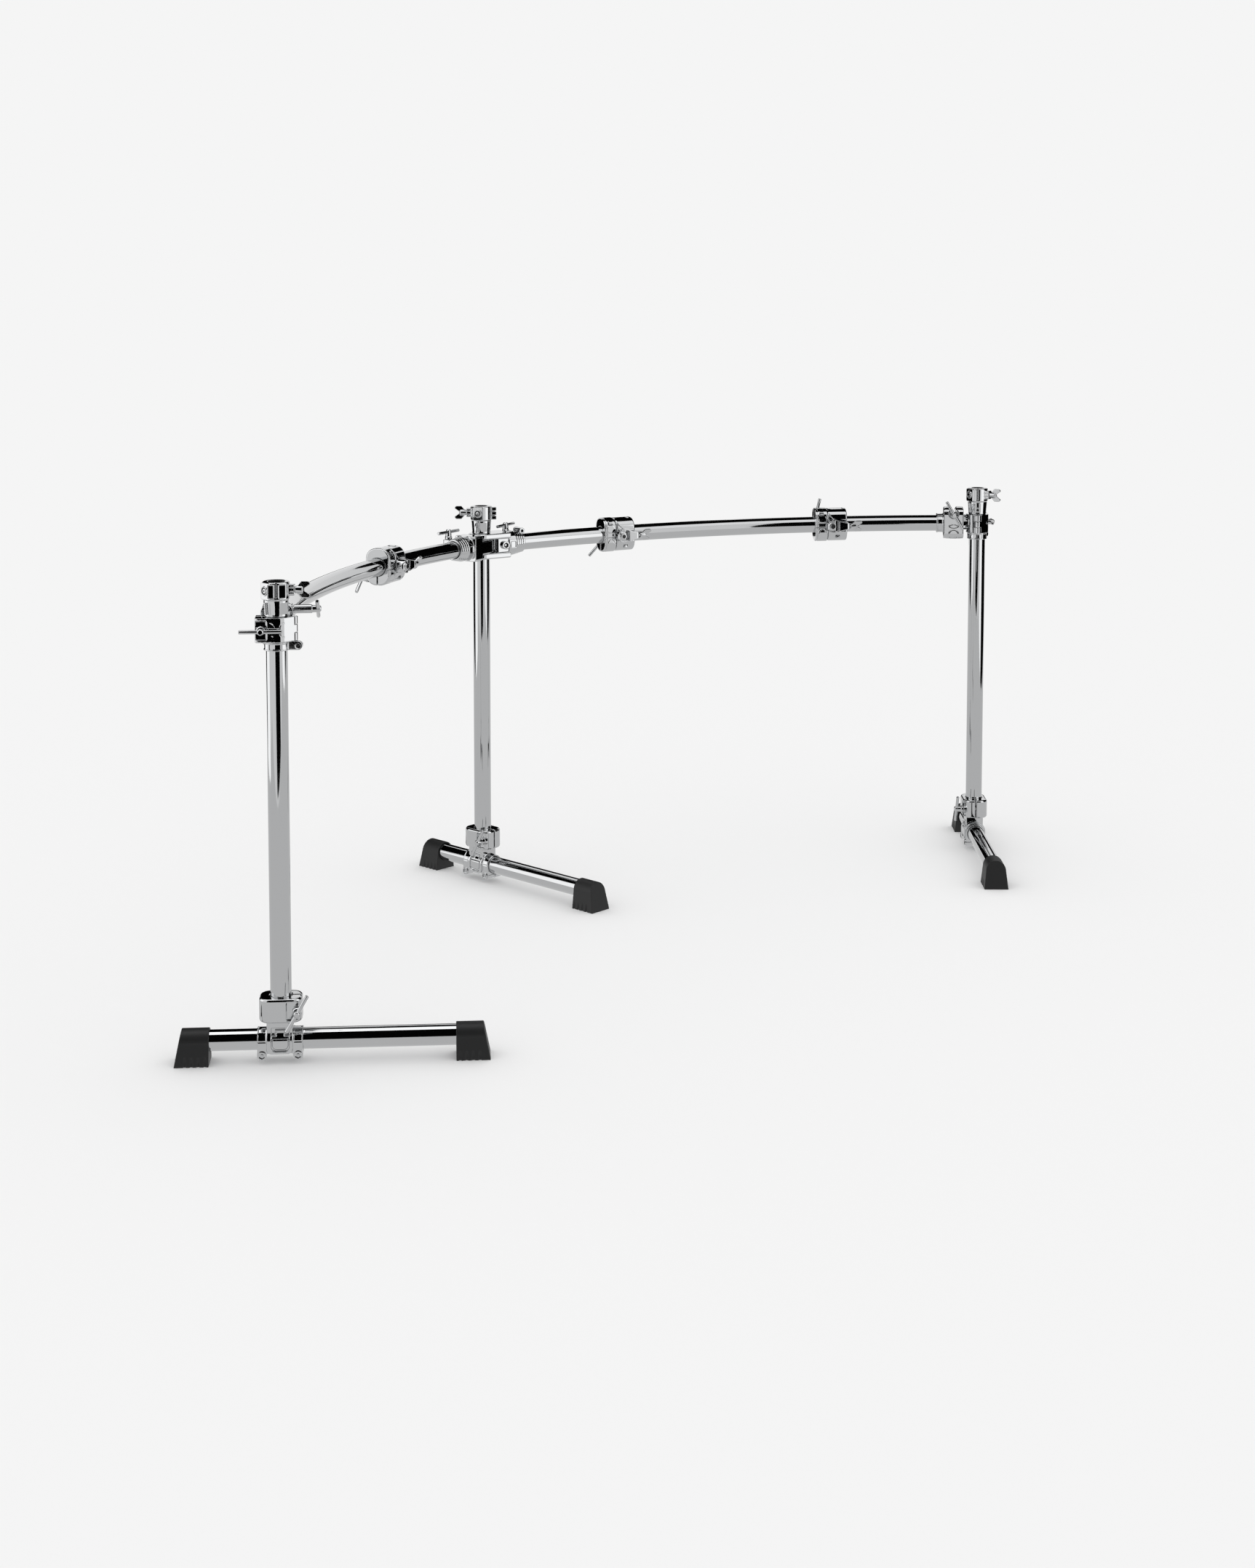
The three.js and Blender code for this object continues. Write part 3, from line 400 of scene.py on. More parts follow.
finishes = {
    # Bright nickel-chrome on drawn steel tube: a clear mirror with faint long waves
    "tube": newFinish("polished_chrome_plate_on_tube", "#C6C7C8", 1, (0.03, 0.06),
                      {"size": 60, "detail": 1, "strength": 0.1, "height": 0.05}),
    # The same plate on buffed die castings: a mirror that swims a little over ground and buffed faces
    "cast": newFinish("chrome_plated_zinc_die_casting", "#C8C9CA", 1, (0.02, 0.05),
                      {"size": 12, "detail": 2, "strength": 0.1, "height": 0.03}),
    # Plated steel screws and keys
    "bolt": newFinish("plated_steel_hardware", "#C4C5C6", 1, (0.04, 0.1),
                      {"size": 3, "detail": 2, "strength": 0.1, "height": 0.03}),
    # Dark steel: the set screw's own colour, and dark floors set deep in the hexagon sockets and the boss's
    # hollow as painted shade
    "dark_steel_and_shade": newFinish("dark_steel_and_painted_socket_shade", "#141516", 0, (0.3, 0.45),
                       {"size": 1, "detail": 2, "strength": 0.1, "height": 0.02}),
    # Moulded rubber: matt black with a fine tooth
    "rubber": newFinish("moulded_black_rubber", "#101112", 0, (0.42, 0.6),
                        {"size": 1.5, "detail": 4, "strength": 0.25, "height": 0.12}),
    # Black nylon liner inside the top sockets
    "nylon": newFinish("black_nylon_liner", "#08090A", 0, (0.35, 0.45),
                       {"size": 2, "detail": 2, "strength": 0.1, "height": 0.05}),
}
print("stage: finishes made")


# Places, in millimetres: the hub's post is the origin that the layout is drawn from

def middleOf(node):
    low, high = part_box(node)
    return (low + high) / 2 / metresPerMm


postAxis = {name: middleOf(f"{name}_upright").xy.to_3d() for name in ("left", "centre", "right")}


def barLayout(name):
    side = -1 if name == "left" else 1
    dip = math.radians((180 - layout["chordAngle"]) / 2)
    heading = -dip if side > 0 else math.pi + dip
    rise = layout["teeHeight"][name] - layout["hubHeight"]
    flat = Vector((math.cos(heading), math.sin(heading), 0)) * layout["span"]
    chord = Vector((flat.x, flat.y, rise))
    halfSweep = math.asin(chord.length / 2 / layout["barRadius"])
    along = chord.normalized()
    outward = Vector((-math.sin(heading), math.cos(heading), 0)) * side
    up = along.cross(outward) * side
    hub = postAxis["centre"] + axisZ * layout["hubHeight"]
    return {"side": side, "chord": chord.length, "halfSweep": halfSweep, "along": along, "outward": outward,
            "up": up, "hub": hub, "post": postAxis["centre"] + flat, "teeHeight": layout["teeHeight"][name],
            "length": 2 * halfSweep * layout["barRadius"]}


def onBar(bar, distance):  # place, direction along the bar and direction out of its bend
    angle = distance / layout["barRadius"] - bar["halfSweep"]
    x = bar["chord"] / 2 + layout["barRadius"] * math.sin(angle)
    y = layout["barRadius"] * (math.cos(angle) - math.cos(bar["halfSweep"]))
    place = bar["hub"] + bar["along"] * x + bar["outward"] * y
    tangent = bar["along"] * math.cos(angle) - bar["outward"] * math.sin(angle)
    radial = bar["along"] * math.sin(angle) + bar["outward"] * math.cos(angle)
    return place, tangent, radial


def squareFrame(bar, distance, origin, side):  # stays square to its post, X looking along the bar or back
    place, tangent, radial = onBar(bar, distance)
    x = tangent * side
    pitch = math.asin(x.z)
    x = Vector((x.x, x.y, 0)).normalized()
    y = axisZ.cross(x)
    if y.dot(radial) * side < 0:
        y = -y
    offset = place - origin
    return {"place": basis(x, y, axisZ, origin), "pitch": pitch, "reach": offset.dot(x),
            "shift": offset.dot(y), "lift": offset.z}


bars = {name: barLayout(name) for name in ("left", "right")}


# Keys and bolts, pointing along +Z from their seats

key = {
    "shank": 7, "hub": 16, "tip": 12, "length": 22, "bar": 7, "barLength": 76, "barEdge": 1.4, "setback": 6,
    "sides": 32, "hole": 3.9,
}
wing = {"hub": 13, "hubLength": 12, "hubEdge": 1.5, "spread": 30, "length": 15, "thickness": 4, "notch": 5,
        "foot": 3, "earRadius": 5, "earSweep": 100}
# From a bar's axis to the keys beside it: the frame's bores are drawn round 16 and 8 facets
keyLine = barBore / math.cos(math.pi / 16) + key["hole"] / math.cos(math.pi / 8) + tube["slit"]


def shankPin(thread, reach):
    return pin(key["shank"] / 2, -thread, reach, 0.5, key["sides"])


def tKey(thread, turn, cone=0, slide=0):
    top = cone + key["length"]
    radius, tip, face = key["hub"] / 2, key["tip"] / 2, tube["face"]
    hub = turned([
        (0, face), (radius - 0.6, face), (radius, face + 0.6), (radius, cone + 5), (radius - 1.2, cone + 6.5),
        (tip + 0.5, cone + 12), (tip, top - 3), (tip - 0.9, top - 1), (tip - 2.2, top), (0, top),
    ], 48)
    reach = key["barLength"] / 2
    bar = spun(alongX(pin(key["bar"] / 2, slide - reach, slide + reach, key["barEdge"], key["sides"])), turn)
    return crisp(fused(shankPin(thread, cone + key["length"] / 2), hub, shifted(bar, z=top - key["setback"])))


def wingBolt(thread, turn):
    root = (wing["hub"] - wing["thickness"]) / 2
    half, low, ear = wing["spread"] / 2, wing["hubLength"], wing["earRadius"]
    hub = pin(wing["hub"] / 2, tube["face"], low + 2, wing["hubEdge"])
    tip = arcPoints((half - ear, low + wing["length"] - ear), ear, 0, wing["earSweep"], 8)
    right = [(root, wing["foot"]), (half - 3, low - 3), (half, low)] + tip + [(root / 2, low + wing["notch"])]
    outline = right + [(-x, y) for x, y in reversed(right)]
    wings = facing(prism(outline, -wing["thickness"] / 2, wing["thickness"] / 2))
    head = casting(fused(hub, wings), "fine")
    return [(spun(head, turn), "bolt"), (spun(crisp(shankPin(thread, low / 2)), turn), "bolt")]


def socketBolt(radius, front, back, edge, socket, depth, floor=0.6):  # its hexagon socket looks to -Y
    bolt = carved(alongY(pin(radius, front, back, edge)), alongY(rod(socket, front - 1, front + depth, 6)))
    # a dark floor at the bottom of the hexagon socket: painted shade
    shadeFloor = alongY(rod(socket - 0.2, front + depth - floor, front + depth + 0.2, 6))
    return [(crisp(bolt), "bolt"), (crisp(shadeFloor), "dark_steel_and_shade")]


print("stage: shapes ready")


# Base: +X is the foot's long end, -Y its front

base = {"axis": 40.1, "spacing": 489.35, "rearShare": 0.311, "endWall": 4}
foot = {
    "height": 62.8, "top": 49.5, "toe": 12.5, "sole": 54.6, "lobePitch": 12, "lobes": 5, "notch": 2.6,
    "notchHeight": 17,
}
clamp = {
    "rear": 42, "front": 39, "band": 17, "bandRadius": 22.45, "bandLip": 1.3, "bandStep": 30,
    "saddleRadius": 26.05, "bottom": 20, "blockRear": 25, "blockFront": 21, "blockCorner": 9, "lugRadius": 9,
    "lugHeight": 17, "gap": 8, "neckDepth": 40, "headRadius": 7.8, "headLength": 3, "nut": 6.5,
    "socket": 5.8, "socketDepth": 3.2, "collarBottom": 77, "collarHeight": 44, "collarWidth": 77,
    "collarDepth": 58, "collarCorner": 20, "collarBevel": 5, "seam": 1.8, "seamDepth": 2.5,
    "label": (11, 25), "keyReach": 30.5, "keyRoom": 10.6, "keyRoomRim": 10, "keyRoomDepth": 6,
    "keyBoss": 8.2, "keyBossDepth": 9, "keyHoleDepth": 20, "keyThread": 19, "keyTurn": 60,
}
panel = {
    "near": 10, "depth": 3.4, "ridge": 0.8, "rearRim": 8, "frontRim": 5.4, "low": 24.5, "high": 66,
    "corner": 8.5, "stepRear": -9.8, "stepFront": 8.3, "stepLow": 52.8, "stepHigh": 62.3, "line": 1.6,
    "plateRim": 2.5, "plateLow": 28.5, "plateHigh": 47, "plateCorner": 8,
}


def footMesh():
    half, over = foot["top"] / 2, tube["over"]
    toe, top = half + foot["toe"], foot["height"]
    blank = alongX(prism(arch(top - base["axis"], base["axis"], 0, foot["sole"]), -half, toe))
    wedge = [(toe, 0), (toe + 2 * over, 0), (toe + 2 * over, top + over), (half, top + over), (half, top)]
    slope = facing(prism(wedge, -foot["sole"], foot["sole"]))
    bore = alongX(rod(tube["radius"] + tube["face"], -half - over, half - base["endWall"]))
    notches = []
    for i in range(foot["lobes"] - 1):
        x = (i - (foot["lobes"] - 2) / 2) * foot["lobePitch"]
        for side in (-1, 1):
            notches.append(shifted(rod(foot["notch"], -over, foot["notchHeight"], 24), x,
                                   side * foot["sole"] / 2))
    return casting(carved(blank, slope, shifted(bore, z=base["axis"]), *notches), "broad")


def saddleCore(depth):  # the saddle's front face, pushed in by a depth
    radius = clamp["saddleRadius"] - depth
    half, far = clamp["neckDepth"] / 2 - depth, clamp["collarWidth"]
    return fused(alongX(prism(arch(radius, base["axis"], 0, 2 * radius), -far, far)),
                 box((-far, -half, base["axis"]), (far, half, clamp["collarBottom"])))


def saddlePanel():  # the stepped recess in the saddle's face, with a raised shield in its lower half
    left, right = panel["rearRim"] - clamp["blockRear"], clamp["blockFront"] - panel["frontRim"]
    low, high, line = panel["stepLow"], panel["stepHigh"], panel["line"]
    above = [(left, low), (panel["stepRear"], low), (panel["stepRear"], high), (panel["stepFront"], high),
             (panel["stepFront"], low),
             (right, low)]
    below = [(right, low - line), (panel["stepFront"] - line, low - line),
             (panel["stepFront"] - line, high - line),
             (panel["stepRear"] + line, high - line), (panel["stepRear"] + line, low - line),
             (left, low - line)]
    plate = shield(left + panel["plateRim"], right - panel["plateRim"], panel["plateLow"], panel["plateHigh"],
                   panel["plateCorner"])
    raised = [kept(saddleCore(panel["ridge"]),
                   facing(prism(outline, panel["near"], 2 * clamp["saddleRadius"])))
              for outline in (above + below, plate)]
    recess = shield(left, right, panel["low"], panel["high"], panel["corner"])
    return carved(facing(prism(recess, panel["near"], 2 * clamp["saddleRadius"])), saddleCore(panel["depth"]),
                  *raised)


def lugBolt(reach):
    front, deep = -reach - clamp["headLength"], clamp["socketDepth"]
    rim = clamp["socket"] - tube["face"]
    bolt = fused(alongY(pin(clamp["headRadius"], front, -reach + 1, 0.7)),
                 alongY(pin(key["shank"] / 2, -reach, reach)),
                 alongY(pin(clamp["nut"], reach - 1, reach + clamp["headLength"], 0.6, 6)))
    bolt = carved(bolt, alongY(rod(clamp["socket"], front - 1, front + deep + 1, 6)))
    # a dark cup at the bottom of the hexagon socket: painted shade
    shadeFloor = turned([(0, -1.2), (2.9, -1.2), (2.9, 1), (rim, 1), (rim, 0), (0, 0)], 6)
    shadeFloor = alongY(shifted(shadeFloor, z=front + deep + 0.9))
    tip = alongY(pin(2.8, front + 1.4, front + deep + 0.6, 0.5))
    return [(crisp(bolt), "bolt"), (crisp(shadeFloor), "dark_steel_and_shade"), (crisp(tip), "bolt")]


def clampBands():  # two arched bands over the tube, each hollowed between its lips
    wide, lip = 2 * clamp["bandRadius"], clamp["bandLip"]
    bands = alongX(prism(arch(wide / 2, base["axis"], clamp["bottom"], wide), -clamp["rear"], clamp["front"]))
    inner = (wide - lip) / 2
    for near in (-clamp["rear"], clamp["front"] - clamp["band"]):
        outside = arch(wide, base["axis"], clamp["bandStep"], 2 * wide)
        bands = carved(bands, carved(alongX(prism(outside, near + lip, near + clamp["band"] - lip)),
                                     alongX(prism(arch(inner, base["axis"], 0, 2 * inner), -wide, wide))))
    return bands


def clampBlock(high):
    saddle = alongX(prism(arch(clamp["saddleRadius"], base["axis"], clamp["bottom"],
                               2 * clamp["saddleRadius"]),
                          -clamp["blockRear"], clamp["blockFront"]))
    neck = box((-clamp["blockRear"], -clamp["neckDepth"] / 2, base["axis"]),
               (clamp["blockFront"], clamp["neckDepth"] / 2, clamp["collarBottom"] + tube["over"]))
    view = shield(-clamp["blockRear"], clamp["blockFront"], clamp["bottom"], high, clamp["blockCorner"])
    far = 2 * clamp["bandRadius"]
    return carved(kept(fused(saddle, neck), facing(prism(view, -far, far))), saddlePanel())


def clampCollar(low, high):
    middle, face, over = (low + high) / 2, -clamp["collarDepth"] / 2, tube["over"]
    width, seam = clamp["collarWidth"], clamp["seam"] / 2
    room = [(x + width + clamp["keyRoom"], z + middle)
            for x, z in rounded(2 * width, clamp["collarHeight"] - clamp["keyRoomRim"], 4)]
    return carved(softBlock(width, clamp["collarDepth"], clamp["collarCorner"], low, high,
                            clamp["collarBevel"]),
                  pocket(room, face, clamp["keyRoomDepth"]),
                  outlined(oval(*clamp["label"], 40, (0, middle)), face, 0.9, 0.6),
                  box((-width, -seam, low - over), (clamp["seamDepth"] - width / 2, seam, high + over)))


def baseClamp():
    over, reach = tube["over"], clamp["bandRadius"]
    low, high = clamp["collarBottom"], clamp["collarBottom"] + clamp["collarHeight"]
    middle, face = (low + high) / 2, -clamp["collarDepth"] / 2
    boss = shifted(alongY(rod(clamp["keyBoss"], face, face + clamp["keyBossDepth"])), clamp["keyReach"], 0,
                   middle)
    lugs, bolts = [], []
    half, rise = clamp["band"] / 2, clamp["lugHeight"]
    for spot in (half - clamp["rear"], clamp["front"] - half):
        lugs.append(shifted(alongY(rod(clamp["lugRadius"], -reach, reach)), spot, 0, rise))
        lugs.append(shifted(box((-half, -reach, rise), (half, reach, base["axis"])), spot))
        bolts += placed(lugBolt(reach), spot, 0, rise)
    body = carved(
        fused(clampBands(), clampBlock(high), clampCollar(low, high), boss, *lugs),
        shifted(alongX(rod(postBore, -clamp["rear"] - over, clamp["front"] + over)), z=base["axis"]),
        box((-clamp["rear"] - over, -clamp["gap"] / 2, 0),
            (clamp["front"] + over, clamp["gap"] / 2, base["axis"])),
        rod(postBore, low, high + over),
        box((0, -tube["slit"] / 2, low - over), (clamp["collarWidth"], tube["slit"] / 2, high + over)),
        shifted(alongY(rod(key["hole"], -clamp["collarDepth"], clamp["keyHoleDepth"])), clamp["keyReach"], 0,
                middle),
    )
    return [(casting(body), "cast")] + bolts


def buildBase(name):
    heading = math.radians(layout["baseHeading"][name] - 90)
    place = Matrix.Translation(postAxis[name]) @ Matrix.Rotation(heading, 4, "Z")
    rear = -base["spacing"] * base["rearShare"]
    front = base["spacing"] * (1 - base["rearShare"])
    tip = foot["top"] / 2 - base["endWall"] - tube["face"]
    run = shifted(alongX(pipe(rear - tip, front + tip)), z=base["axis"])
    deliver(f"{name}_base_tube", [(run, "tube")], place)
    deliver(f"{name}_front_foot", [(shifted(footMesh(), front), "rubber")], place)
    deliver(f"{name}_rear_foot", [(shifted(spun(footMesh(), 180), rear), "rubber")], place)
    deliver(f"{name}_base_clamp", baseClamp(), place)
    depth = clamp["collarDepth"] / 2
    spot = (clamp["keyReach"], -depth, clamp["collarBottom"] + clamp["collarHeight"] / 2)
    turnKey = moved(tKey(depth + clamp["keyThread"], clamp["keyTurn"]), aimed(spot, -axisY, axisX))
    deliver(f"{name}_base_key", [(turnKey, "bolt")], place)


for name in postAxis:
    buildBase(name)
print("stage: bases built")


# Bars, drawn as an arc with a round section

barEnds = {"hub": 50, "tee": 34}  # from the centres of hub and tee to the bar's ends


def newTree(name, inputs):
    tree = bpy.data.node_groups.new(name, "GeometryNodeTree")
    tree.interface.new_socket("Geometry", in_out="OUTPUT", socket_type="NodeSocketGeometry")
    for label, value in inputs.items():
        kind = "NodeSocketInt" if isinstance(value, int) else "NodeSocketFloat"
        if isinstance(value, bpy.types.Material):
            kind = "NodeSocketMaterial"
        socket = tree.interface.new_socket(label, in_out="INPUT", socket_type=kind)
        socket.default_value = value
    return tree, addNode(tree, "NodeGroupInput").outputs


def closeTree(tree, given, shape):  # instances made real and given their finish, as the export needs
    whole = addNode(tree, "GeometryNodeRealizeInstances", {}, {"Geometry": shape})
    coat = addNode(tree, "GeometryNodeSetMaterial", {},
                   {"Geometry": whole.outputs["Geometry"], "Material": given["Finish"]})
    addNode(tree, "NodeGroupOutput", {}, {"Geometry": coat.outputs["Geometry"]})
    return tree


def reckoned(tree, operation, *values):  # a Math node's result, from sockets or plain numbers
    node = addNode(tree, "ShaderNodeMath", {"operation": operation})
    for slot, value in enumerate(values):
        if isinstance(value, (int, float)):
            node.inputs[slot].default_value = value
        else:
            tree.links.new(value, node.inputs[slot])
    return node.outputs["Value"]


def grown(tree, values):
    thing = bpy.data.objects.new("grown", bpy.data.meshes.new("grown"))
    modifier = thing.modifiers.new("nodes", "NODES")
    modifier.node_group = tree
    for socket in tree.interface.items_tree:
        if socket.in_out == "INPUT" and socket.name in values:
            modifier[socket.identifier] = values[socket.name]
    scene.collection.objects.link(thing)
    made = bpy.data.meshes.new_from_object(thing.evaluated_get(bpy.context.evaluated_depsgraph_get()))
    thing.modifiers.clear()
    bpy.data.objects.remove(thing)
    return made


def bentTubeTree():
    tree, given = newTree("bent_tube", {
        "Bend Radius": 1636.0, "Start Angle": 1.0, "Sweep": 0.7, "Tube Radius": 19.05, "Steps": 160,
        "Sides": 96,
        "Finish": finishes["tube"]})
    spine = addNode(tree, "GeometryNodeCurveArc", {"mode": "RADIUS"}, {
        "Resolution": given["Steps"], "Radius": given["Bend Radius"], "Start Angle": given["Start Angle"],
        "Sweep Angle": given["Sweep"]})
    outer = addNode(tree, "GeometryNodeCurvePrimitiveCircle", {"mode": "RADIUS"},
                    {"Resolution": given["Sides"], "Radius": given["Tube Radius"]})
    sweep = addNode(tree, "GeometryNodeCurveToMesh", {"Fill Caps": True},
                    {"Curve": spine.outputs["Curve"], "Profile Curve": outer.outputs["Curve"]})
    smooth = addNode(tree, "GeometryNodeSetShadeSmooth", {}, {"Geometry": sweep.outputs["Mesh"]})
    return closeTree(tree, given, smooth.outputs["Geometry"])


def buildBar(name, tree):
    bar = bars[name]
    radius = layout["barRadius"]
    first = barEnds["hub"] / radius - bar["halfSweep"]
    last = (bar["length"] - barEnds["tee"]) / radius - bar["halfSweep"]
    mesh = grown(tree, {"Bend Radius": float(radius), "Start Angle": math.pi / 2 - last,
                        "Sweep": last - first,
                        "Tube Radius": tube["radius"]})
    dip = radius * math.cos(bar["halfSweep"])
    centre = bar["hub"] + bar["along"] * (bar["chord"] / 2) - bar["outward"] * dip
    place = basis(bar["along"], bar["outward"], bar["along"].cross(bar["outward"]), centre)
    deliver(f"{name}_bar", [(mesh, "tube")], place)


bentTube = bentTubeTree()
for name in bars:
    buildBar(name, bentTube)
print("stage: bars swept")


# Uprights with their top sockets: each socket's origin lies on its upright's upper end

cup = {
    "bore": 26, "depth": 58, "neck": 41, "shoulder": 48, "shoulderLip": 1.7, "neckHeight": 30,
    "collarHeight": 32, "spigot": 40, "spigotRadius": 16.5, "linerWall": 1.5, "lugWidth": 16,
    "lugHeight": 20, "lugReach": 33, "lugGroove": 2.2, "lugGrooveRise": 4, "lugGrooveDepth": 1.4,
    "wingDrop": 15, "boss": 16.4, "bossReach": 27, "bossWall": 1.6, "bossHollow": 3.2, "bolt": 4.4,
    "boltSocket": 3.2, "padWidth": 24, "padReach": 24.4, "splitWidth": 3.4, "splitDepth": 27,
    "slotWidth": 4.5, "slotLow": 13, "slotHigh": 2, "screwDrop": 19, "screwHole": 2.6, "screw": 2.3,
    "ridgeReach": 34, "ridgeWidth": 13, "ridgeHeight": 8, "ridgePitch": 10, "ridgeDrop": 2,
    "spineInset": 2.5, "panelLow": 28, "panelHigh": 4,
    "panels": [{"turn": -4, "near": -13.4, "far": -2.6, "floor": 19.8},
               {"turn": 4, "near": 2.6, "far": 15, "floor": 18.6}],
    "ridgeHeading": {"centre": -36}, "lugHeading": {"left": -45, "centre": 135, "right": -80},
    "bossHeading": {"left": 180, "centre": -150, "right": 165},
    "splitHeading": {"left": -126, "centre": -71, "right": -141},
}
stackSizes = {"disc": 3.6, "pitch": 3.1, "count": 7, "foot": 6, "inset": 1.2}
cupRim = cup["neckHeight"] + cup["collarHeight"]
cupBolt = cupRim - cup["wingDrop"]
cupInner, cupOuter = cup["bore"] / 2, cup["shoulder"] / 2
cupWall = (cupInner + cupOuter) / 2


def stackTree():  # a column of discs, as a coiled spring or a run of thread shows
    tree, given = newTree("disc_stack", {
        "Count": 7, "Pitch": 3.1, "Radius": 3.6, "Lean": 0.0, "Disc Share": 0.72, "Core Share": 0.7,
        "Finish": finishes["bolt"]})
    step = addNode(tree, "ShaderNodeCombineXYZ", {}, {"X": given["Lean"], "Z": given["Pitch"]})
    row = addNode(tree, "GeometryNodeMeshLine", {"mode": "OFFSET"},
                  {"Count": given["Count"], "Offset": step.outputs["Vector"]})
    points = addNode(tree, "GeometryNodeMeshToPoints", {}, {"Mesh": row.outputs["Mesh"]})
    roundShape = {"Vertices": 32, "Side Segments": 1}
    disc = addNode(tree, "GeometryNodeMeshCylinder", roundShape, {
        "Radius": given["Radius"], "Depth": reckoned(tree, "MULTIPLY", given["Pitch"], given["Disc Share"])})
    core = addNode(tree, "GeometryNodeMeshCylinder", roundShape, {
        "Radius": reckoned(tree, "MULTIPLY", given["Radius"], given["Core Share"]), "Depth": given["Pitch"]})
    pair = addNode(tree, "GeometryNodeJoinGeometry", {}, {"Geometry": disc.outputs["Mesh"]})
    tree.links.new(core.outputs["Mesh"], pair.inputs["Geometry"])
    copies = addNode(tree, "GeometryNodeInstanceOnPoints", {},
                     {"Points": points.outputs["Points"], "Instance": pair.outputs["Geometry"]})
    return closeTree(tree, given, copies.outputs["Instances"])


discStack = stackTree()


def cupShell():
    neck, outer, lip, low = cup["neck"] / 2, cupOuter, cup["shoulderLip"], cup["neckHeight"]
    liner, floor = cupInner + cup["linerWall"], cupRim - cup["depth"]
    return turned([
        (0, -cup["spigot"]), (cup["spigotRadius"], -cup["spigot"]), (cup["spigotRadius"], 0), (neck, 0),
        (neck + 0.6, 2), (neck + 0.2, 4), (outer - lip, low - 4), (outer - lip, low), (outer, low + 1.6),
        (outer, cupRim - 1.5), (outer - 1.5, cupRim), (liner, cupRim), (liner, floor), (0, floor),
    ])


def cupLug():  # the grooved block that the wing bolt stands on
    width, height, groove = cup["lugWidth"], cup["lugHeight"], cup["lugGroove"] / 2
    side = width / 2 - cup["lugGrooveDepth"]
    core = box((0, -side, -height), (2 * cupOuter, side, height))
    grooves = [carved(box((cupOuter + 1.2, -width, z - groove), (cup["lugReach"] - 2, width, z + groove)),
                      core)
               for z in (-cup["lugGrooveRise"], cup["lugGrooveRise"])]
    return shifted(carved(alongX(prism(rounded(width, height, 3), cupWall, cup["lugReach"])), *grooves),
                   z=cupBolt)


def cupBoss():  # the pad and the round boss of the pinch bolt
    pad = alongX(prism(rounded(cup["padWidth"], cup["collarHeight"] - 2, 3), cupWall, cup["padReach"]))
    boss = alongX(rod(cup["boss"] / 2, cupWall, cup["bossReach"]))
    return fused(shifted(pad, z=(cup["neckHeight"] + cupRim) / 2), shifted(boss, z=cupBolt))


def cupRidges():
    half, pitch, tall = cup["ridgeWidth"] / 2, cup["ridgePitch"], cup["ridgeHeight"] / 2
    inset = half - cup["spineInset"]
    ridges = [box((cupWall, -half, z - tall), (cup["ridgeReach"], half, z + tall)) for z in (-pitch, 0,
                                                                                             pitch)]
    spine = box((cupWall, -inset, -12), (cup["ridgeReach"] - 3, inset, 12))
    return shifted(fused(spine, *ridges), z=cupBolt - cup["ridgeDrop"])


def cupCuts(name):
    split, slot = cup["splitWidth"] / 2, cup["slotWidth"] / 2
    turn, far = cup["splitHeading"][name], cupOuter + 2
    cuts = [spun(box((cupWall, -split, cupRim - cup["splitDepth"]), (far, split, cupRim + 1)), turn)]
    if name == "left":
        low, high = cupRim - cup["panelLow"], cupRim - cup["panelHigh"]
        for spot in cup["panels"]:
            window = [(spot["near"], low), (spot["far"], low), (spot["far"], high), (spot["near"], high)]
            cuts.append(spun(pocket(window, -spot["floor"] - 9, 9), turn + 90 + spot["turn"]))
        return cuts
    low, high = cup["neckHeight"] - cup["slotLow"], cup["neckHeight"] - cup["slotHigh"]
    cuts.append(spun(box((0, -slot, low), (far, slot, high)), turn))
    hole = shifted(alongX(rod(cup["screwHole"], 12, 26)), z=cup["neckHeight"] - cup["screwDrop"])
    return cuts + [spun(hole, turn)]


def cupFittings(name):  # liner, pinch bolt, set screw and the column of discs on the neck
    floor, liner, reach = cupRim - cup["depth"], cupInner + cup["linerWall"], cup["bossReach"]
    wall = turned([(cupInner, floor + 1), (liner, floor + 1), (liner, cupRim), (cupInner + 0.4, cupRim),
                   (cupInner, cupRim - 0.4)])
    parts = [(crisp(wall), "nylon"), (crisp(rod(cupInner + 0.5, floor, floor + 1.5)), "nylon")]
    # a dark disc on the floor of the boss's hollow: painted shade
    shadeFloor = alongX(rod(cup["boss"] / 2 - 1.9, reach - 4, reach - 2.8))
    side = cup["boltSocket"] / 2
    head = carved(alongX(pin(cup["bolt"], reach - 4, reach - 0.6)),
                  alongX(box((-side, -side, reach - 1.8), (side, side, reach + 1))))
    bossTurn = cup["bossHeading"][name]
    parts += [(crisp(spun(shifted(part, z=cupBolt), bossTurn)), finish) for part, finish in
              ((shadeFloor, "dark_steel_and_shade"), (head, "bolt"))]
    if name != "left":
        screw = shifted(alongX(pin(cup["screw"], 14, 22, 0.6)), z=cup["neckHeight"] - cup["screwDrop"])
        parts.append((crisp(spun(screw, cup["splitHeading"][name])), "dark_steel_and_shade"))
    neck = cup["neck"] / 2
    lean = (cupOuter - neck - cup["shoulderLip"]) / cup["neckHeight"]
    stack = grown(discStack, {"Count": stackSizes["count"], "Pitch": stackSizes["pitch"],
                              "Radius": stackSizes["disc"],
                              "Lean": lean * stackSizes["pitch"]})
    return parts + [(crisp(spun(shifted(stack, neck + stackSizes["inset"], 0, stackSizes["foot"]), bossTurn)),
                     "bolt")]


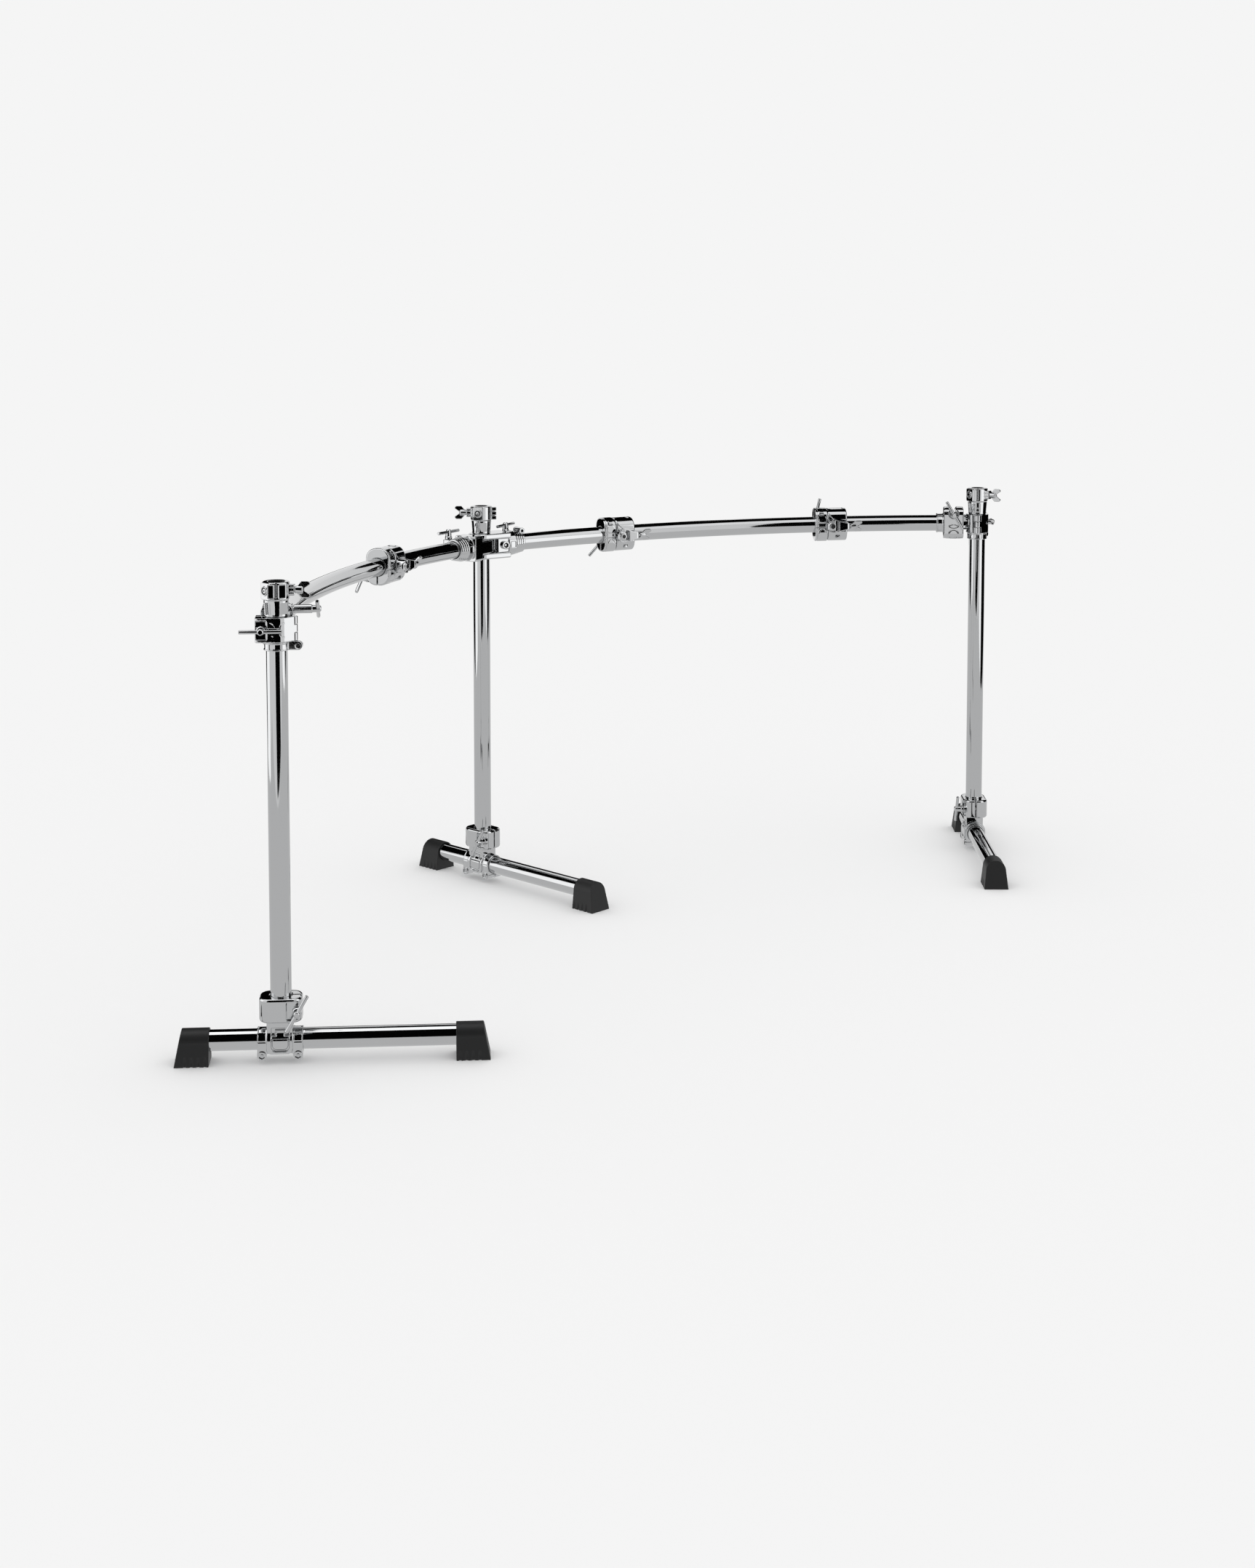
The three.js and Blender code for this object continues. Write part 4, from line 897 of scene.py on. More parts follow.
def cupPieces(name):
    bossTurn = cup["bossHeading"][name]
    blocks = [spun(cupLug(), cup["lugHeading"][name]), spun(cupBoss(), bossTurn)]
    if name in cup["ridgeHeading"]:
        blocks.append(spun(cupRidges(), cup["ridgeHeading"][name]))
    hollow = alongX(rod(cup["boss"] / 2 - cup["bossWall"], cup["bossReach"] - cup["bossHollow"],
                        cup["bossReach"] + 1))
    mouth = rod(cupInner + cup["linerWall"] - 0.2, cupRim - cup["depth"] + 1, cupRim + 1)
    body = carved(fused(cupShell(), *blocks), spun(shifted(hollow, z=cupBolt), bossTurn), *cupCuts(name),
                  mouth)
    return [(casting(body, "fine"), "cast")] + cupFittings(name)


def buildPost(name):
    low, high = (corner.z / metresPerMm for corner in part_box(f"{name}_upright"))
    place = Matrix.Translation(postAxis[name])
    deliver(f"{name}_upright", [(pipe(low, high), "tube")], place)
    top = place @ Matrix.Translation((0, 0, high + tube["face"]))
    deliver(f"{name}_cup", cupPieces(name), top)
    heading = math.radians(cup["lugHeading"][name])
    outward = Vector((math.cos(heading), math.sin(heading), 0))
    turn = aimed(outward * cup["lugReach"] + axisZ * cupBolt, outward, axisZ)
    bolt = [(moved(part, turn), finish) for part, finish in wingBolt(cup["lugReach"] - cupInner - 1, 0)]
    deliver(f"{name}_cup_wing_bolt", bolt, top)


for name in postAxis:
    buildPost(name)
print("stage: posts built")


# Tee clamps: X toward the bar, Y inward, the origin on the post's axis at the tee's centre

tee = {
    "height": 44, "wall": 7.5, "keyOffset": 26.5, "earReach": 37, "earThickness": 13, "keySeat": 20,
    "lobe": 5, "flat": 4, "keyRoom": 20, "keyRoomRim": 10, "keyRoomDepth": 4, "arcRadius": 13, "label": 12.5,
    "hinge": 31, "hingePin": 6, "knuckle": 13, "gripNear": 33, "gripLength": 47, "gripHeight": 77,
    "gripDepth": 58, "gripCorner": 16, "gripLowCorner": 8, "gripHump": 6, "gripKeyRise": 25.5, "boss": 27,
    "bridgeDepth": 24, "bridgeHeight": 36, "window": (9, 17), "windowSpot": 22, "windowDepth": 2.5,
    "bodyArch": 13, "bodyArchDrop": 19, "bodyLabel": (24, 8), "jawArch": 12, "jawArchDrop": 26,
    "jawLabel": (21, 8), "barKeyThread": 10, "barKeyTurn": {"left": 30, "right": 120}, "postKeyTurn": 0,
}
gripMiddle = tee["gripNear"] + tee["gripLength"] / 2
gripFar = tee["gripNear"] + tee["gripLength"]


def knuckles(length, middle):  # a hinge's own share of its barrel: the middle third, or both ends and the pin
    inner = length / 6
    radius = tee["knuckle"] / 2
    if middle:
        return rod(radius, -inner + tube["face"], inner - tube["face"], 48)
    return fused(rod(radius, inner, length / 2, 48), rod(radius, -length / 2, -inner, 48),
                 rod(tee["hingePin"] / 2, -length / 2, length / 2, 32))


def hingeRoom(length, middle):  # the space kept free for the other leaf's knuckles
    inner = length / 6
    radius = tee["knuckle"] / 2 + tube["slip"] + tube["face"]
    if middle:
        return fused(rod(radius, inner - tube["face"], length / 2 + 1, 48),
                     rod(radius, -length / 2 - 1, -inner + tube["face"], 48),
                     rod(tee["hingePin"] / 2 + tube["slip"], -length, length, 32))
    return rod(radius, -inner, inner, 48)


def pinHole(reach):
    return rod(tee["hingePin"] / 2 + tube["slip"], -reach, reach)


def barCut(place, back, ahead):
    bore = spun(alongX(rod(barBore, -back, ahead)), -math.degrees(place["pitch"]), "Y")
    return shifted(bore, place["reach"], place["shift"], place["lift"])


def onGripHinge(mesh, place):
    return shifted(alongX(mesh), gripMiddle, place["shift"], place["lift"] - tee["hinge"])


def gripBlank(place):  # the grip's outline along X, cut to its outline along Y, with the key's notch
    corner, hump, deep = tee["gripLowCorner"], tee["gripHump"], 3 * tee["gripDepth"]
    near, far, middle = tee["gripNear"], gripFar, gripMiddle
    low, high = place["lift"] - tee["gripHeight"] / 2, place["lift"] + tee["gripHeight"] / 2
    notch = [(middle + 7, high), (middle + 4.5, high - 6), (middle - 4.5, high - 6), (middle - 7, high)]
    front = arcPoints((far - hump, high - hump), hump, 0, 90) + notch
    front += arcPoints((near + hump, high - hump), hump, 90, 180)
    front += arcPoints((near + corner, low + corner), corner, 180, 270)
    front += arcPoints((far - corner, low + corner), corner, 270, 360)
    along = alongX(prism(rounded(tee["gripDepth"], tee["gripHeight"], tee["gripCorner"]), near, far))
    return kept(shifted(along, 0, place["shift"], place["lift"]), facing(prism(front, -deep, deep)))


def teeBody(place):
    half, tall = tube["slit"] / 2, tee["gripHeight"]
    low, high = -tee["height"] / 2, tee["height"] / 2
    near, thick, knuckle = tee["gripNear"], tee["earThickness"], tee["knuckle"] / 2
    shift, hinge = place["shift"], place["lift"] - tee["hinge"]
    shell = fused(rod(tube["radius"] + tee["wall"], low, high),
                  box((half, -tee["earReach"], low), (thick, 0, high)),
                  box((half, 0, low), (thick, tee["hinge"], high)))
    shell = kept(shell, box((half, -tall, -tall), (near, tall, tall)))
    grip = kept(gripBlank(place), box((0, -2 * tee["gripDepth"], -tall), (gripFar, shift - half, tall)))
    rise = tee["bridgeHeight"] / 2
    bridge = box((tube["radius"], -tee["bridgeDepth"], -rise), (near + 1, 0, rise))
    web = box((near, shift - knuckle, hinge - knuckle), (gripFar, shift - half, hinge + knuckle))
    body = carved(fused(shell, grip, bridge, web),
                  shifted(hingeRoom(tee["height"], False), 0, tee["hinge"], 0),
                  onGripHinge(hingeRoom(tee["gripLength"], False), place))
    body = fused(body, shifted(knuckles(tee["height"], False), 0, tee["hinge"], 0),
                 onGripHinge(knuckles(tee["gripLength"], False), place))
    face = shift - tee["gripDepth"] / 2  # the grip's outer face
    hole, keyZ = key["hole"], place["lift"] + tee["gripKeyRise"]
    sideSlot = box((0, -tee["earReach"] - 1, -hole), (thick + 1, hole - tee["keyOffset"], hole))
    topSlot = box((gripMiddle - hole, -2 * tee["gripDepth"], keyZ - hole),
                  (gripMiddle + hole, shift, place["lift"] + tall))
    arc = arcPoints((gripMiddle, place["lift"] - tee["bodyArchDrop"]), tee["bodyArch"], 0, 180, 24)
    label = groove(oval(*tee["bodyLabel"], 40, (gripMiddle, place["lift"] - 1)), face, 1.0)
    window = [(-tee["windowSpot"] - x, z) for x, z in rounded(*tee["window"], 3)]
    body = carved(body, rod(postBore, -tall, tall), barCut(place, tee["gripLength"], tee["gripLength"]),
                  sideSlot, topSlot, groove(arc, face, 1.2), label,
                  spun(pocket(window, -tee["hinge"], tee["windowDepth"]), 180))
    return [(casting(body), "cast")]


def postJaw():
    half, tall = tube["slit"] / 2, tee["gripHeight"]
    low, high = -tee["height"] / 2, tee["height"] / 2
    radius, lobe = tube["radius"] + tee["wall"], tee["lobe"]
    front = -tee["keySeat"] - tee["flat"]  # the flat ahead of the key's seat
    plan = hull(circle(radius), circle(tee["knuckle"] / 2, 32, (0, tee["hinge"])),
                circle(lobe, 32, (front + lobe, lobe - tee["earReach"])),
                circle(1, 12, (0, 1 - tee["earReach"])))
    blank = kept(prism(plan, low, high), box((-tall, -tall, -tall), (-half, tall, tall)))
    jaw = carved(blank, shifted(hingeRoom(tee["height"], True), 0, tee["hinge"], 0))
    jaw = fused(jaw, shifted(knuckles(tee["height"], True), 0, tee["hinge"], 0))
    width = tee["keyRoom"]
    room = [(tee["keyOffset"] + x, z) for x, z in rounded(width, tee["height"] - tee["keyRoomRim"], 3)]
    arc = [(tee["keyOffset"] - 2 + x, z)
           for x, z in arcPoints((-width / 2, 0), tee["arcRadius"], 100, 260, 24)]
    cuts = [pocket(room, front - 3, 3 + tee["keyRoomDepth"]), groove(arc, -radius, 1, 3),
            outlined(oval(12, 26, 40, (-tee["label"], 0)), -radius, 1, 4.6)]
    room, arc, label = (spun(cut, -90) for cut in cuts)
    jaw = carved(jaw, room, rod(postBore, -tall, tall), arc, label,
                 shifted(alongX(rod(key["hole"], -tall, 0)), 0, -tee["keyOffset"], 0),
                 shifted(pinHole(tall), 0, tee["hinge"], 0))
    return [(casting(jaw, "plainRound"), "cast")]


def barJaw(place):
    tall, face = tee["gripHeight"], -place["shift"] - tee["gripDepth"] / 2
    keyZ, reach = place["lift"] + tee["gripKeyRise"], key["hub"] / 2
    blank = kept(gripBlank(place), box(
        (tee["gripNear"] + tube["face"], place["shift"] + tube["slit"] / 2, place["lift"] - tee["hinge"]),
        (gripFar, 2 * tee["gripDepth"], tall)))
    jaw = fused(carved(blank, onGripHinge(hingeRoom(tee["gripLength"], True), place)),
                onGripHinge(knuckles(tee["gripLength"], True), place))
    arc = arcPoints((-gripMiddle, place["lift"] - tee["jawArchDrop"]), tee["jawArch"], 0, 180, 24)
    label = oval(*tee["jawLabel"], 40, (-gripMiddle, place["lift"] - 5))
    room = [(x - gripMiddle, z + keyZ) for x, z in hull(circle(reach + 4, 40), [(-9, 30), (9, 30)])]
    ring = shifted(alongY(rod(reach + 0.4, -2 * tall, 2 * tall)), -gripMiddle, 0, keyZ)
    cuts = [spun(cut, 180) for cut in (groove(arc, face, 1, 0.8), outlined(label, face, 1, 0.8),
                                       carved(pocket(room, face, 4), ring))]
    jaw = carved(jaw, barCut(place, tee["gripLength"], tee["gripLength"]), *cuts,
                 shifted(alongY(rod(key["hole"], 0, 2 * tee["gripDepth"])), gripMiddle, 0, keyZ),
                 onGripHinge(pinHole(tall), place))
    return [(casting(jaw), "cast")]


def buildTee(name):
    bar = bars[name]
    origin = bar["post"] + axisZ * bar["teeHeight"]
    place = squareFrame(bar, bar["length"] - gripMiddle, origin, -1)
    grid = place["place"]
    deliver(f"{name}_tee_body", teeBody(place), grid)
    deliver(f"{name}_tee_post_jaw", postJaw(), grid)
    deliver(f"{name}_tee_bar_jaw", barJaw(place), grid)
    postKey = moved(tKey(tee["keySeat"] + tee["earThickness"], tee["postKeyTurn"]),
                    aimed((-tee["keySeat"], -tee["keyOffset"], 0), -axisX, axisY))
    deliver(f"{name}_tee_post_key", [(postKey, "bolt")], grid)
    depth = tee["gripDepth"] / 2
    spot = (gripMiddle, place["shift"] + depth, place["lift"] + tee["gripKeyRise"])
    barKey = tKey(depth + tee["barKeyThread"], tee["barKeyTurn"][name], tee["boss"])
    deliver(f"{name}_tee_bar_key", [(moved(barKey, aimed(spot, axisY, axisX)), "bolt")], grid)


for name in bars:
    buildTee(name)
print("stage: tees built")


# Memory rings

ring = {
    "height": 15.5, "diameter": 46.5, "earReach": 46, "earThickness": 14, "barLength": 16.5,
    "barEarReach": 34, "bandRim": 2.4, "bandDepth": 1.1, "bandGap": 3.2, "bandTurns": (60, 120, 240, 300),
    "bolt": 5.6, "boltRise": 3, "boltEdge": 0.7, "socket": 3.4, "socketDepth": 2.6, "socketFloor": 0.4,
    "heading": {"left": -45, "right": 12},
}


def memoryRing(bore, length, earReach):
    half, thick, outer = length / 2, ring["earThickness"] / 2, ring["diameter"] / 2
    slit, gap = tube["slit"] / 2, ring["bandGap"] / 2
    low, floor = ring["bandRim"] - half, outer - ring["bandDepth"]
    blank = fused(rod(outer, -half, half),
                  box((tube["radius"], -thick, -half), (earReach - half, thick, half)),
                  shifted(alongY(rod(half, -thick, thick)), earReach - half))
    band = turned([(floor, low), (outer + 2, low), (outer + 2, -low), (floor, -low)])
    gaps = [spun(box((0, -gap, -length), (2 * outer, gap, length)), turn) for turn in ring["bandTurns"]]
    band = carved(band, box((0, -thick - 1, -length), (2 * outer, thick + 1, length)), *gaps)
    blank = carved(blank, rod(bore, -length, length), band,
                   box((0, -slit, -length), (ring["diameter"], slit, length)))
    reach = thick + ring["boltRise"]
    bolt = socketBolt(ring["bolt"], -reach, reach, ring["boltEdge"], ring["socket"], ring["socketDepth"],
                      ring["socketFloor"])
    return [(casting(blank, "fine"), "cast")] + placed(bolt, earReach - half)


for name in bars:
    bar = bars[name]
    drop = tee["height"] / 2 + tube["face"] + ring["height"] / 2
    place = Matrix.Translation(bar["post"] + axisZ * (bar["teeHeight"] - drop))
    turn = Matrix.Rotation(math.radians(ring["heading"][name]), 4, "Z")
    deliver(f"{name}_memory_ring", memoryRing(postBore, ring["height"], ring["earReach"]), place @ turn)

inset = gripFar + 2 * tube["face"] + ring["barLength"] / 2
spot, tangent, radial = onBar(bars["right"], bars["right"]["length"] - inset)
deliver("bar_memory_ring", memoryRing(barBore, ring["barLength"], ring["barEarReach"]),
        aimed(spot, tangent, radial))
print("stage: memory rings built")


# Hub arms: X along the bar, Y outward, the origin on the post's axis at the hub's centre

hub = {
    "inner": 32, "plate": 12.5, "bevel": 1.6, "diameter": 58, "tongueGap": 0.5, "webNear": 33, "webInset": 9,
    "sleeveNear": 60, "sleeveLength": 44, "sleeveWall": 8, "barRoom": 49, "slitReach": 77, "window": (13, 15),
    "windowSpot": 10, "windowDepth": 1.6, "ridgeLow": 8, "ridgeHigh": 9.4, "ridgeNear": 6, "ridgeFar": 18,
    "ridgeEnd": 20,
    "ridgeRise": 0.7, "earHeight": 43, "earLength": 24, "earCorner": 5, "earBevel": 2, "thread": 30,
    "headCorner": 5, "pocketNear": 6, "pocketFar": 4, "pocketDepth": 7, "pocketRim": 3,
    "keySpot": {"left": 84, "right": 80}, "keyTurn": {"left": 0, "right": 30},
}
plateBolt = {
    "spot": 50, "inset": 2, "radius": 9.4, "length": 10, "edge": 0.8, "socket": 6.6, "depth": 5, "tip": 2.6,
}
sleeveBolt = {
    "spot": 100, "rise": 27, "radius": 7, "front": -14, "back": 16, "edge": 1, "socket": 4.2, "depth": 4,
}


def armPlate(low, high, far):
    radius, bevel = hub["diameter"] / 2, hub["bevel"]
    plan = arcPoints((0, 0), radius, 90, 270, 48) + [(far, -radius), (far, radius)]
    inner = arcPoints((0, 0), radius - bevel, 90, 270, 48) + [(far, bevel - radius), (far, radius - bevel)]
    return fused(prism(plan, low + bevel, high - bevel), prism(inner, low, high))


def sleeveTree():  # a stepped barrel: its radius falls in even steps toward the bar
    tree, given = newTree("stepped_sleeve", {
        "Near": 0.0, "Length": 44.0, "Plain": 20.0, "Radius": 28.0, "Step": 1.1, "Pitch": 6.0, "Rows": 89,
        "Sides": 96, "Finish": finishes["cast"]})
    grid = addNode(tree, "GeometryNodeMeshCylinder", {"Radius": 1.0, "Depth": 1.0},
                   {"Vertices": given["Sides"], "Side Segments": given["Rows"]})
    place = addNode(tree, "GeometryNodeInputPosition")
    unit = addNode(tree, "ShaderNodeSeparateXYZ", {}, {"Vector": place.outputs["Position"]}).outputs
    along = reckoned(tree, "MULTIPLY", reckoned(tree, "ADD", unit["Z"], 0.5), given["Length"])
    past = reckoned(tree, "MAXIMUM", reckoned(tree, "SUBTRACT", along, given["Plain"]), 0)
    steps = reckoned(tree, "CEIL", reckoned(tree, "DIVIDE", past, given["Pitch"]))
    radius = reckoned(tree, "SUBTRACT", given["Radius"], reckoned(tree, "MULTIPLY", steps, given["Step"]))
    spot = addNode(tree, "ShaderNodeCombineXYZ", {}, {
        "X": reckoned(tree, "MULTIPLY", unit["X"], radius),
        "Y": reckoned(tree, "MULTIPLY", unit["Y"], radius),
        "Z": reckoned(tree, "ADD", along, given["Near"])})
    shape = addNode(tree, "GeometryNodeSetPosition", {},
                    {"Geometry": grid.outputs["Mesh"], "Position": spot.outputs["Vector"]})
    return closeTree(tree, given, shape.outputs["Geometry"])


steppedSleeve = sleeveTree()


def armSleeve(place, keySpot):
    radius, near = barBore + hub["sleeveWall"], hub["sleeveNear"] - place["reach"]
    barrel = grown(steppedSleeve, {"Near": near, "Radius": radius, "Length": float(hub["sleeveLength"])})
    window = [(near + hub["windowSpot"] + x, z) for x, z in rounded(*hub["window"], 2.5)]
    start, end = near + hub["ridgeNear"], near + hub["ridgeEnd"]
    low, high = -hub["ridgeHigh"], -hub["ridgeLow"]
    strip = facing(prism([(start, low), (end, low), (end, high), (start, high)], 5, 2 * radius))
    ridge = kept(alongX(rod(radius + hub["ridgeRise"], near + 2, near + hub["ridgeFar"])), strip)
    barrel = fused(carved(alongX(barrel), pocket(window, -radius, hub["windowDepth"])), ridge)
    shifted(spun(barrel, -math.degrees(place["pitch"]), "Y"), place["reach"], place["shift"], place["lift"])
    depth, rise = keyLine + key["hub"] / 2, hub["earHeight"] / 2
    ears = softBlock(hub["earLength"], depth, hub["earCorner"], -rise, rise, hub["earBevel"])
    return fused(barrel, shifted(ears, keySpot, place["shift"] + depth / 2, place["lift"]))


def armCuts(place, keySpot):
    far, slit, tall = 2 * (hub["sleeveNear"] + hub["sleeveLength"]), tube["slit"] / 2, hub["earHeight"]
    return [barCut(place, place["reach"] - hub["barRoom"], far / 2),
            shifted(box((hub["sleeveNear"], 0, -slit), (far, hub["slitReach"], slit)),
                    0, place["shift"], place["lift"]),
            shifted(rod(key["hole"], -tall, tall), keySpot, place["shift"] + keyLine, place["lift"])]


def forkArm(place, keySpot):
    inner, radius, over = hub["inner"] / 2, hub["diameter"] / 2, tube["over"]
    outer, far = inner + hub["plate"], hub["sleeveNear"] + over
    side = radius - hub["webInset"]
    web = box((hub["webNear"] + tube["face"], -side, -inner - over), (far, side, inner + over))
    body = carved(fused(armPlate(inner, outer, far), armPlate(-outer, -inner, far), web,
                        armSleeve(place, keySpot)),
                  rod(postBore, -outer - over, outer + over), *armCuts(place, keySpot))
    face = plateBolt["inset"] - radius
    front = socketBolt(plateBolt["radius"], face, face + plateBolt["length"], plateBolt["edge"],
                       plateBolt["socket"], plateBolt["depth"])
    tip = (crisp(alongY(pin(plateBolt["tip"], face + 3, face + 5, 0.5))), "bolt")
    cross = socketBolt(sleeveBolt["radius"], sleeveBolt["front"], sleeveBolt["back"], sleeveBolt["edge"],
                       sleeveBolt["socket"], sleeveBolt["depth"])
    return ([(casting(body), "cast")] + placed(front + [tip], plateBolt["spot"])
            + placed(cross, sleeveBolt["spot"], place["shift"], place["lift"] + sleeveBolt["rise"]))


def tongueArm(place, keySpot):
    inner, radius, over = hub["inner"] / 2 - hub["tongueGap"], hub["diameter"] / 2, tube["over"]
    outer, far = hub["inner"] / 2 + hub["plate"], hub["sleeveNear"] + over
    near, rim = hub["webNear"], inner - hub["pocketRim"]
    head = alongX(prism(rounded(hub["diameter"], 2 * outer, hub["headCorner"]), near + tube["face"], far))
    recess = box((near + hub["pocketNear"], -radius - over, -rim),
                 (far - hub["pocketFar"], hub["pocketDepth"] - radius, rim))
    body = carved(fused(armPlate(-inner, inner, far), carved(head, recess), armSleeve(place, keySpot)),
                  rod(postBore, -inner - over, inner + over), *armCuts(place, keySpot))
    return [(casting(body, "broad"), "cast")]


def buildArm(name, arm):
    bar, keySpot = bars[name], hub["keySpot"][name]
    place = squareFrame(bar, hub["sleeveNear"] + hub["sleeveLength"] / 2, bar["hub"], 1)
    deliver(f"{name}_arm", arm(place, keySpot), place["place"])
    armKey = shifted(tKey(hub["thread"], hub["keyTurn"][name]), keySpot, place["shift"] + keyLine,
                     place["lift"] + hub["earHeight"] / 2)
    deliver(f"{name}_arm_key", [(armKey, "bolt")], place["place"])


buildArm("left", tongueArm)
buildArm("right", forkArm)
print("stage: hub built")


# Multi-clamps: X to the player's right, Y outward, the origin on the bar's axis between ring and body

multi = {
    "ringLength": 30, "ringHeight": 79, "ringDepth": 56, "bodyLength": 46, "bodyHeight": 77, "bodyDepth": 56,
    "corner": 23, "bevel": 3, "groove": 1.2, "pivot": 12, "pivotLength": 8, "keyThread": 12, "wingTurn": 30,
    "keySide": {"left_multi": -1, "inner_multi": -1, "outer_multi": 1},
    "keyTurn": {"left_multi": 135, "inner_multi": 135, "outer_multi": 284},
    "keySlide": {"left_multi": 0, "inner_multi": 0, "outer_multi": -8},
}
bodyCuts = {
    "capDepth": 6, "seamLow": 7.4, "seamHigh": 9, "seamDepth": 2, "windowRim": 8, "windowInset": 17,
    "windowDepth": 1.4, "nut": 4.2, "nutDrop": 28, "nutRoom": 10, "nutDepth": 6, "lipNear": 9, "lipWidth": 1,
}
ringCuts = {
    "waistNear": 4, "waistFar": 6, "waistDepth": 1.2, "oval": (17, 22), "ovalDrop": 19, "plate": (18, 16),
    "plateCorner": 4, "plateRise": 15, "seams": (-5.5, 4.5), "seam": 1.4, "seamDepth": 2.4, "eye": 5,
    "eyeHole": 2.2, "eyeLength": 8, "eyeRise": 29, "eyeRoom": 10, "eyeDepth": 6,
}
jaw = {
    "length": 56, "height": 30, "depth": 22, "corner": 8, "rodWidth": 8, "rodShift": 4, "rodDepth": 13,
    "head": 17.4, "headLength": 3, "headInset": 1.4, "socket": 5, "socketDepth": 2.6, "collarRise": 0.6,
    "dishOuter": 3.4, "dishInner": 1.2, "dishDepth": 1.4,
}


def multiBody():
    length, over = multi["bodyLength"], tube["over"]
    near, face, middle, tall = tube["face"] / 2, -multi["bodyDepth"] / 2, length / 2, multi["bodyHeight"] / 2
    blank = alongX(softBlock(multi["bodyDepth"], 2 * tall, multi["corner"], near, length, multi["bevel"]))
    seat = shifted(alongY(rod(multi["pivot"] / 2, face - multi["pivotLength"], 0)), middle)
    cap = groove([(near + 2, 30), (near + 6, 22), (middle - 6, 13), (length - 2, 13)], face, multi["groove"],
                 bodyCuts["capDepth"])
    seam = box((-over, face - over, bodyCuts["seamLow"]),
               (length + over, face + bodyCuts["seamDepth"], bodyCuts["seamHigh"]))
    window = shifted(prism(rounded(length - 2 * bodyCuts["windowRim"],
                                   multi["bodyDepth"] - 2 * bodyCuts["windowInset"], 3),
                           tall - bodyCuts["windowDepth"], tall + 2 * over), middle)
    room = bodyCuts["nutRoom"] / 2
    nutRoom = box((middle - room, face - over, -bodyCuts["nutDrop"] - room),
                  (middle + room, face + bodyCuts["nutDepth"], room - bodyCuts["nutDrop"]))
    lip = box((length - bodyCuts["lipNear"], face - over, -tall),
              (length - bodyCuts["lipNear"] + bodyCuts["lipWidth"], face + bodyCuts["windowDepth"],
               bodyCuts["seamLow"]))
    made = carved(blank, alongX(rod(barBore, -over, length + over)), cap, seam, window, nutRoom, lip)
    nut = shifted(alongY(pin(bodyCuts["nut"], face + 1, face + 6.4, 0.6, 6)), middle, 0, -bodyCuts["nutDrop"])
    return [(casting(fused(made, seat), "fine"), "cast"), (crisp(nut), "bolt")]


def multiRing(name):
    side, length, over = multi["keySide"][name], multi["ringLength"], tube["over"]
    face, middle, tall, slit = -multi["ringDepth"] / 2, -length / 2, multi["ringHeight"], tube["slit"] / 2
    blank = alongX(softBlock(multi["ringDepth"], tall, multi["corner"], -length, -tube["face"] / 2,
                             multi["bevel"]))
    core = rounded(multi["ringDepth"] - 2 * ringCuts["waistDepth"], tall - 2 * ringCuts["waistDepth"],
                   multi["corner"] - 1)
    waist = alongX(carved(rod(tall, ringCuts["waistNear"] - length, ringCuts["waistFar"] - length),
                          prism(core, -length, 0)))
    ends = sorted([0, side * tall])
    cut = box((-length - over, -slit, ends[0]), (0, slit, ends[1]))
    hole = shifted(alongY(rod(key["hole"], -multi["keyThread"] - over, multi["ringDepth"])), middle, 0,
                   side * keyLine)
    low = oval(*ringCuts["oval"], 40, (middle + 1, -ringCuts["ovalDrop"]))
    plate = [(x + middle + 1, z + ringCuts["plateRise"])
             for x, z in rounded(*ringCuts["plate"], ringCuts["plateCorner"])]
    seams = [box((-length - over, face - over, z),
                 (over, face + ringCuts["seamDepth"], z + ringCuts["seam"])) for z in ringCuts["seams"]]
    room = ringCuts["eyeRoom"] / 2
    eyeRoom = box((middle - room, face - over, ringCuts["eyeRise"] - room),
                  (middle + room, face + ringCuts["eyeDepth"], ringCuts["eyeRise"] + room))
    made = carved(blank, waist, alongX(rod(barBore, -length - over, over)), cut, hole, *seams,
                  outlined(low, face, multi["groove"], 1.2), outlined(plate, face, multi["groove"], 1.2),
                  eyeRoom)
    half = ringCuts["eyeLength"] / 2
    eye = alongX(carved(rod(ringCuts["eye"], -half, half, 48),
                        rod(ringCuts["eyeHole"], -half - 1, half + 1, 24)))
    return [(casting(made, "fine"), "cast"),
            (crisp(shifted(eye, middle, face + 5, ringCuts["eyeRise"])), "bolt")]


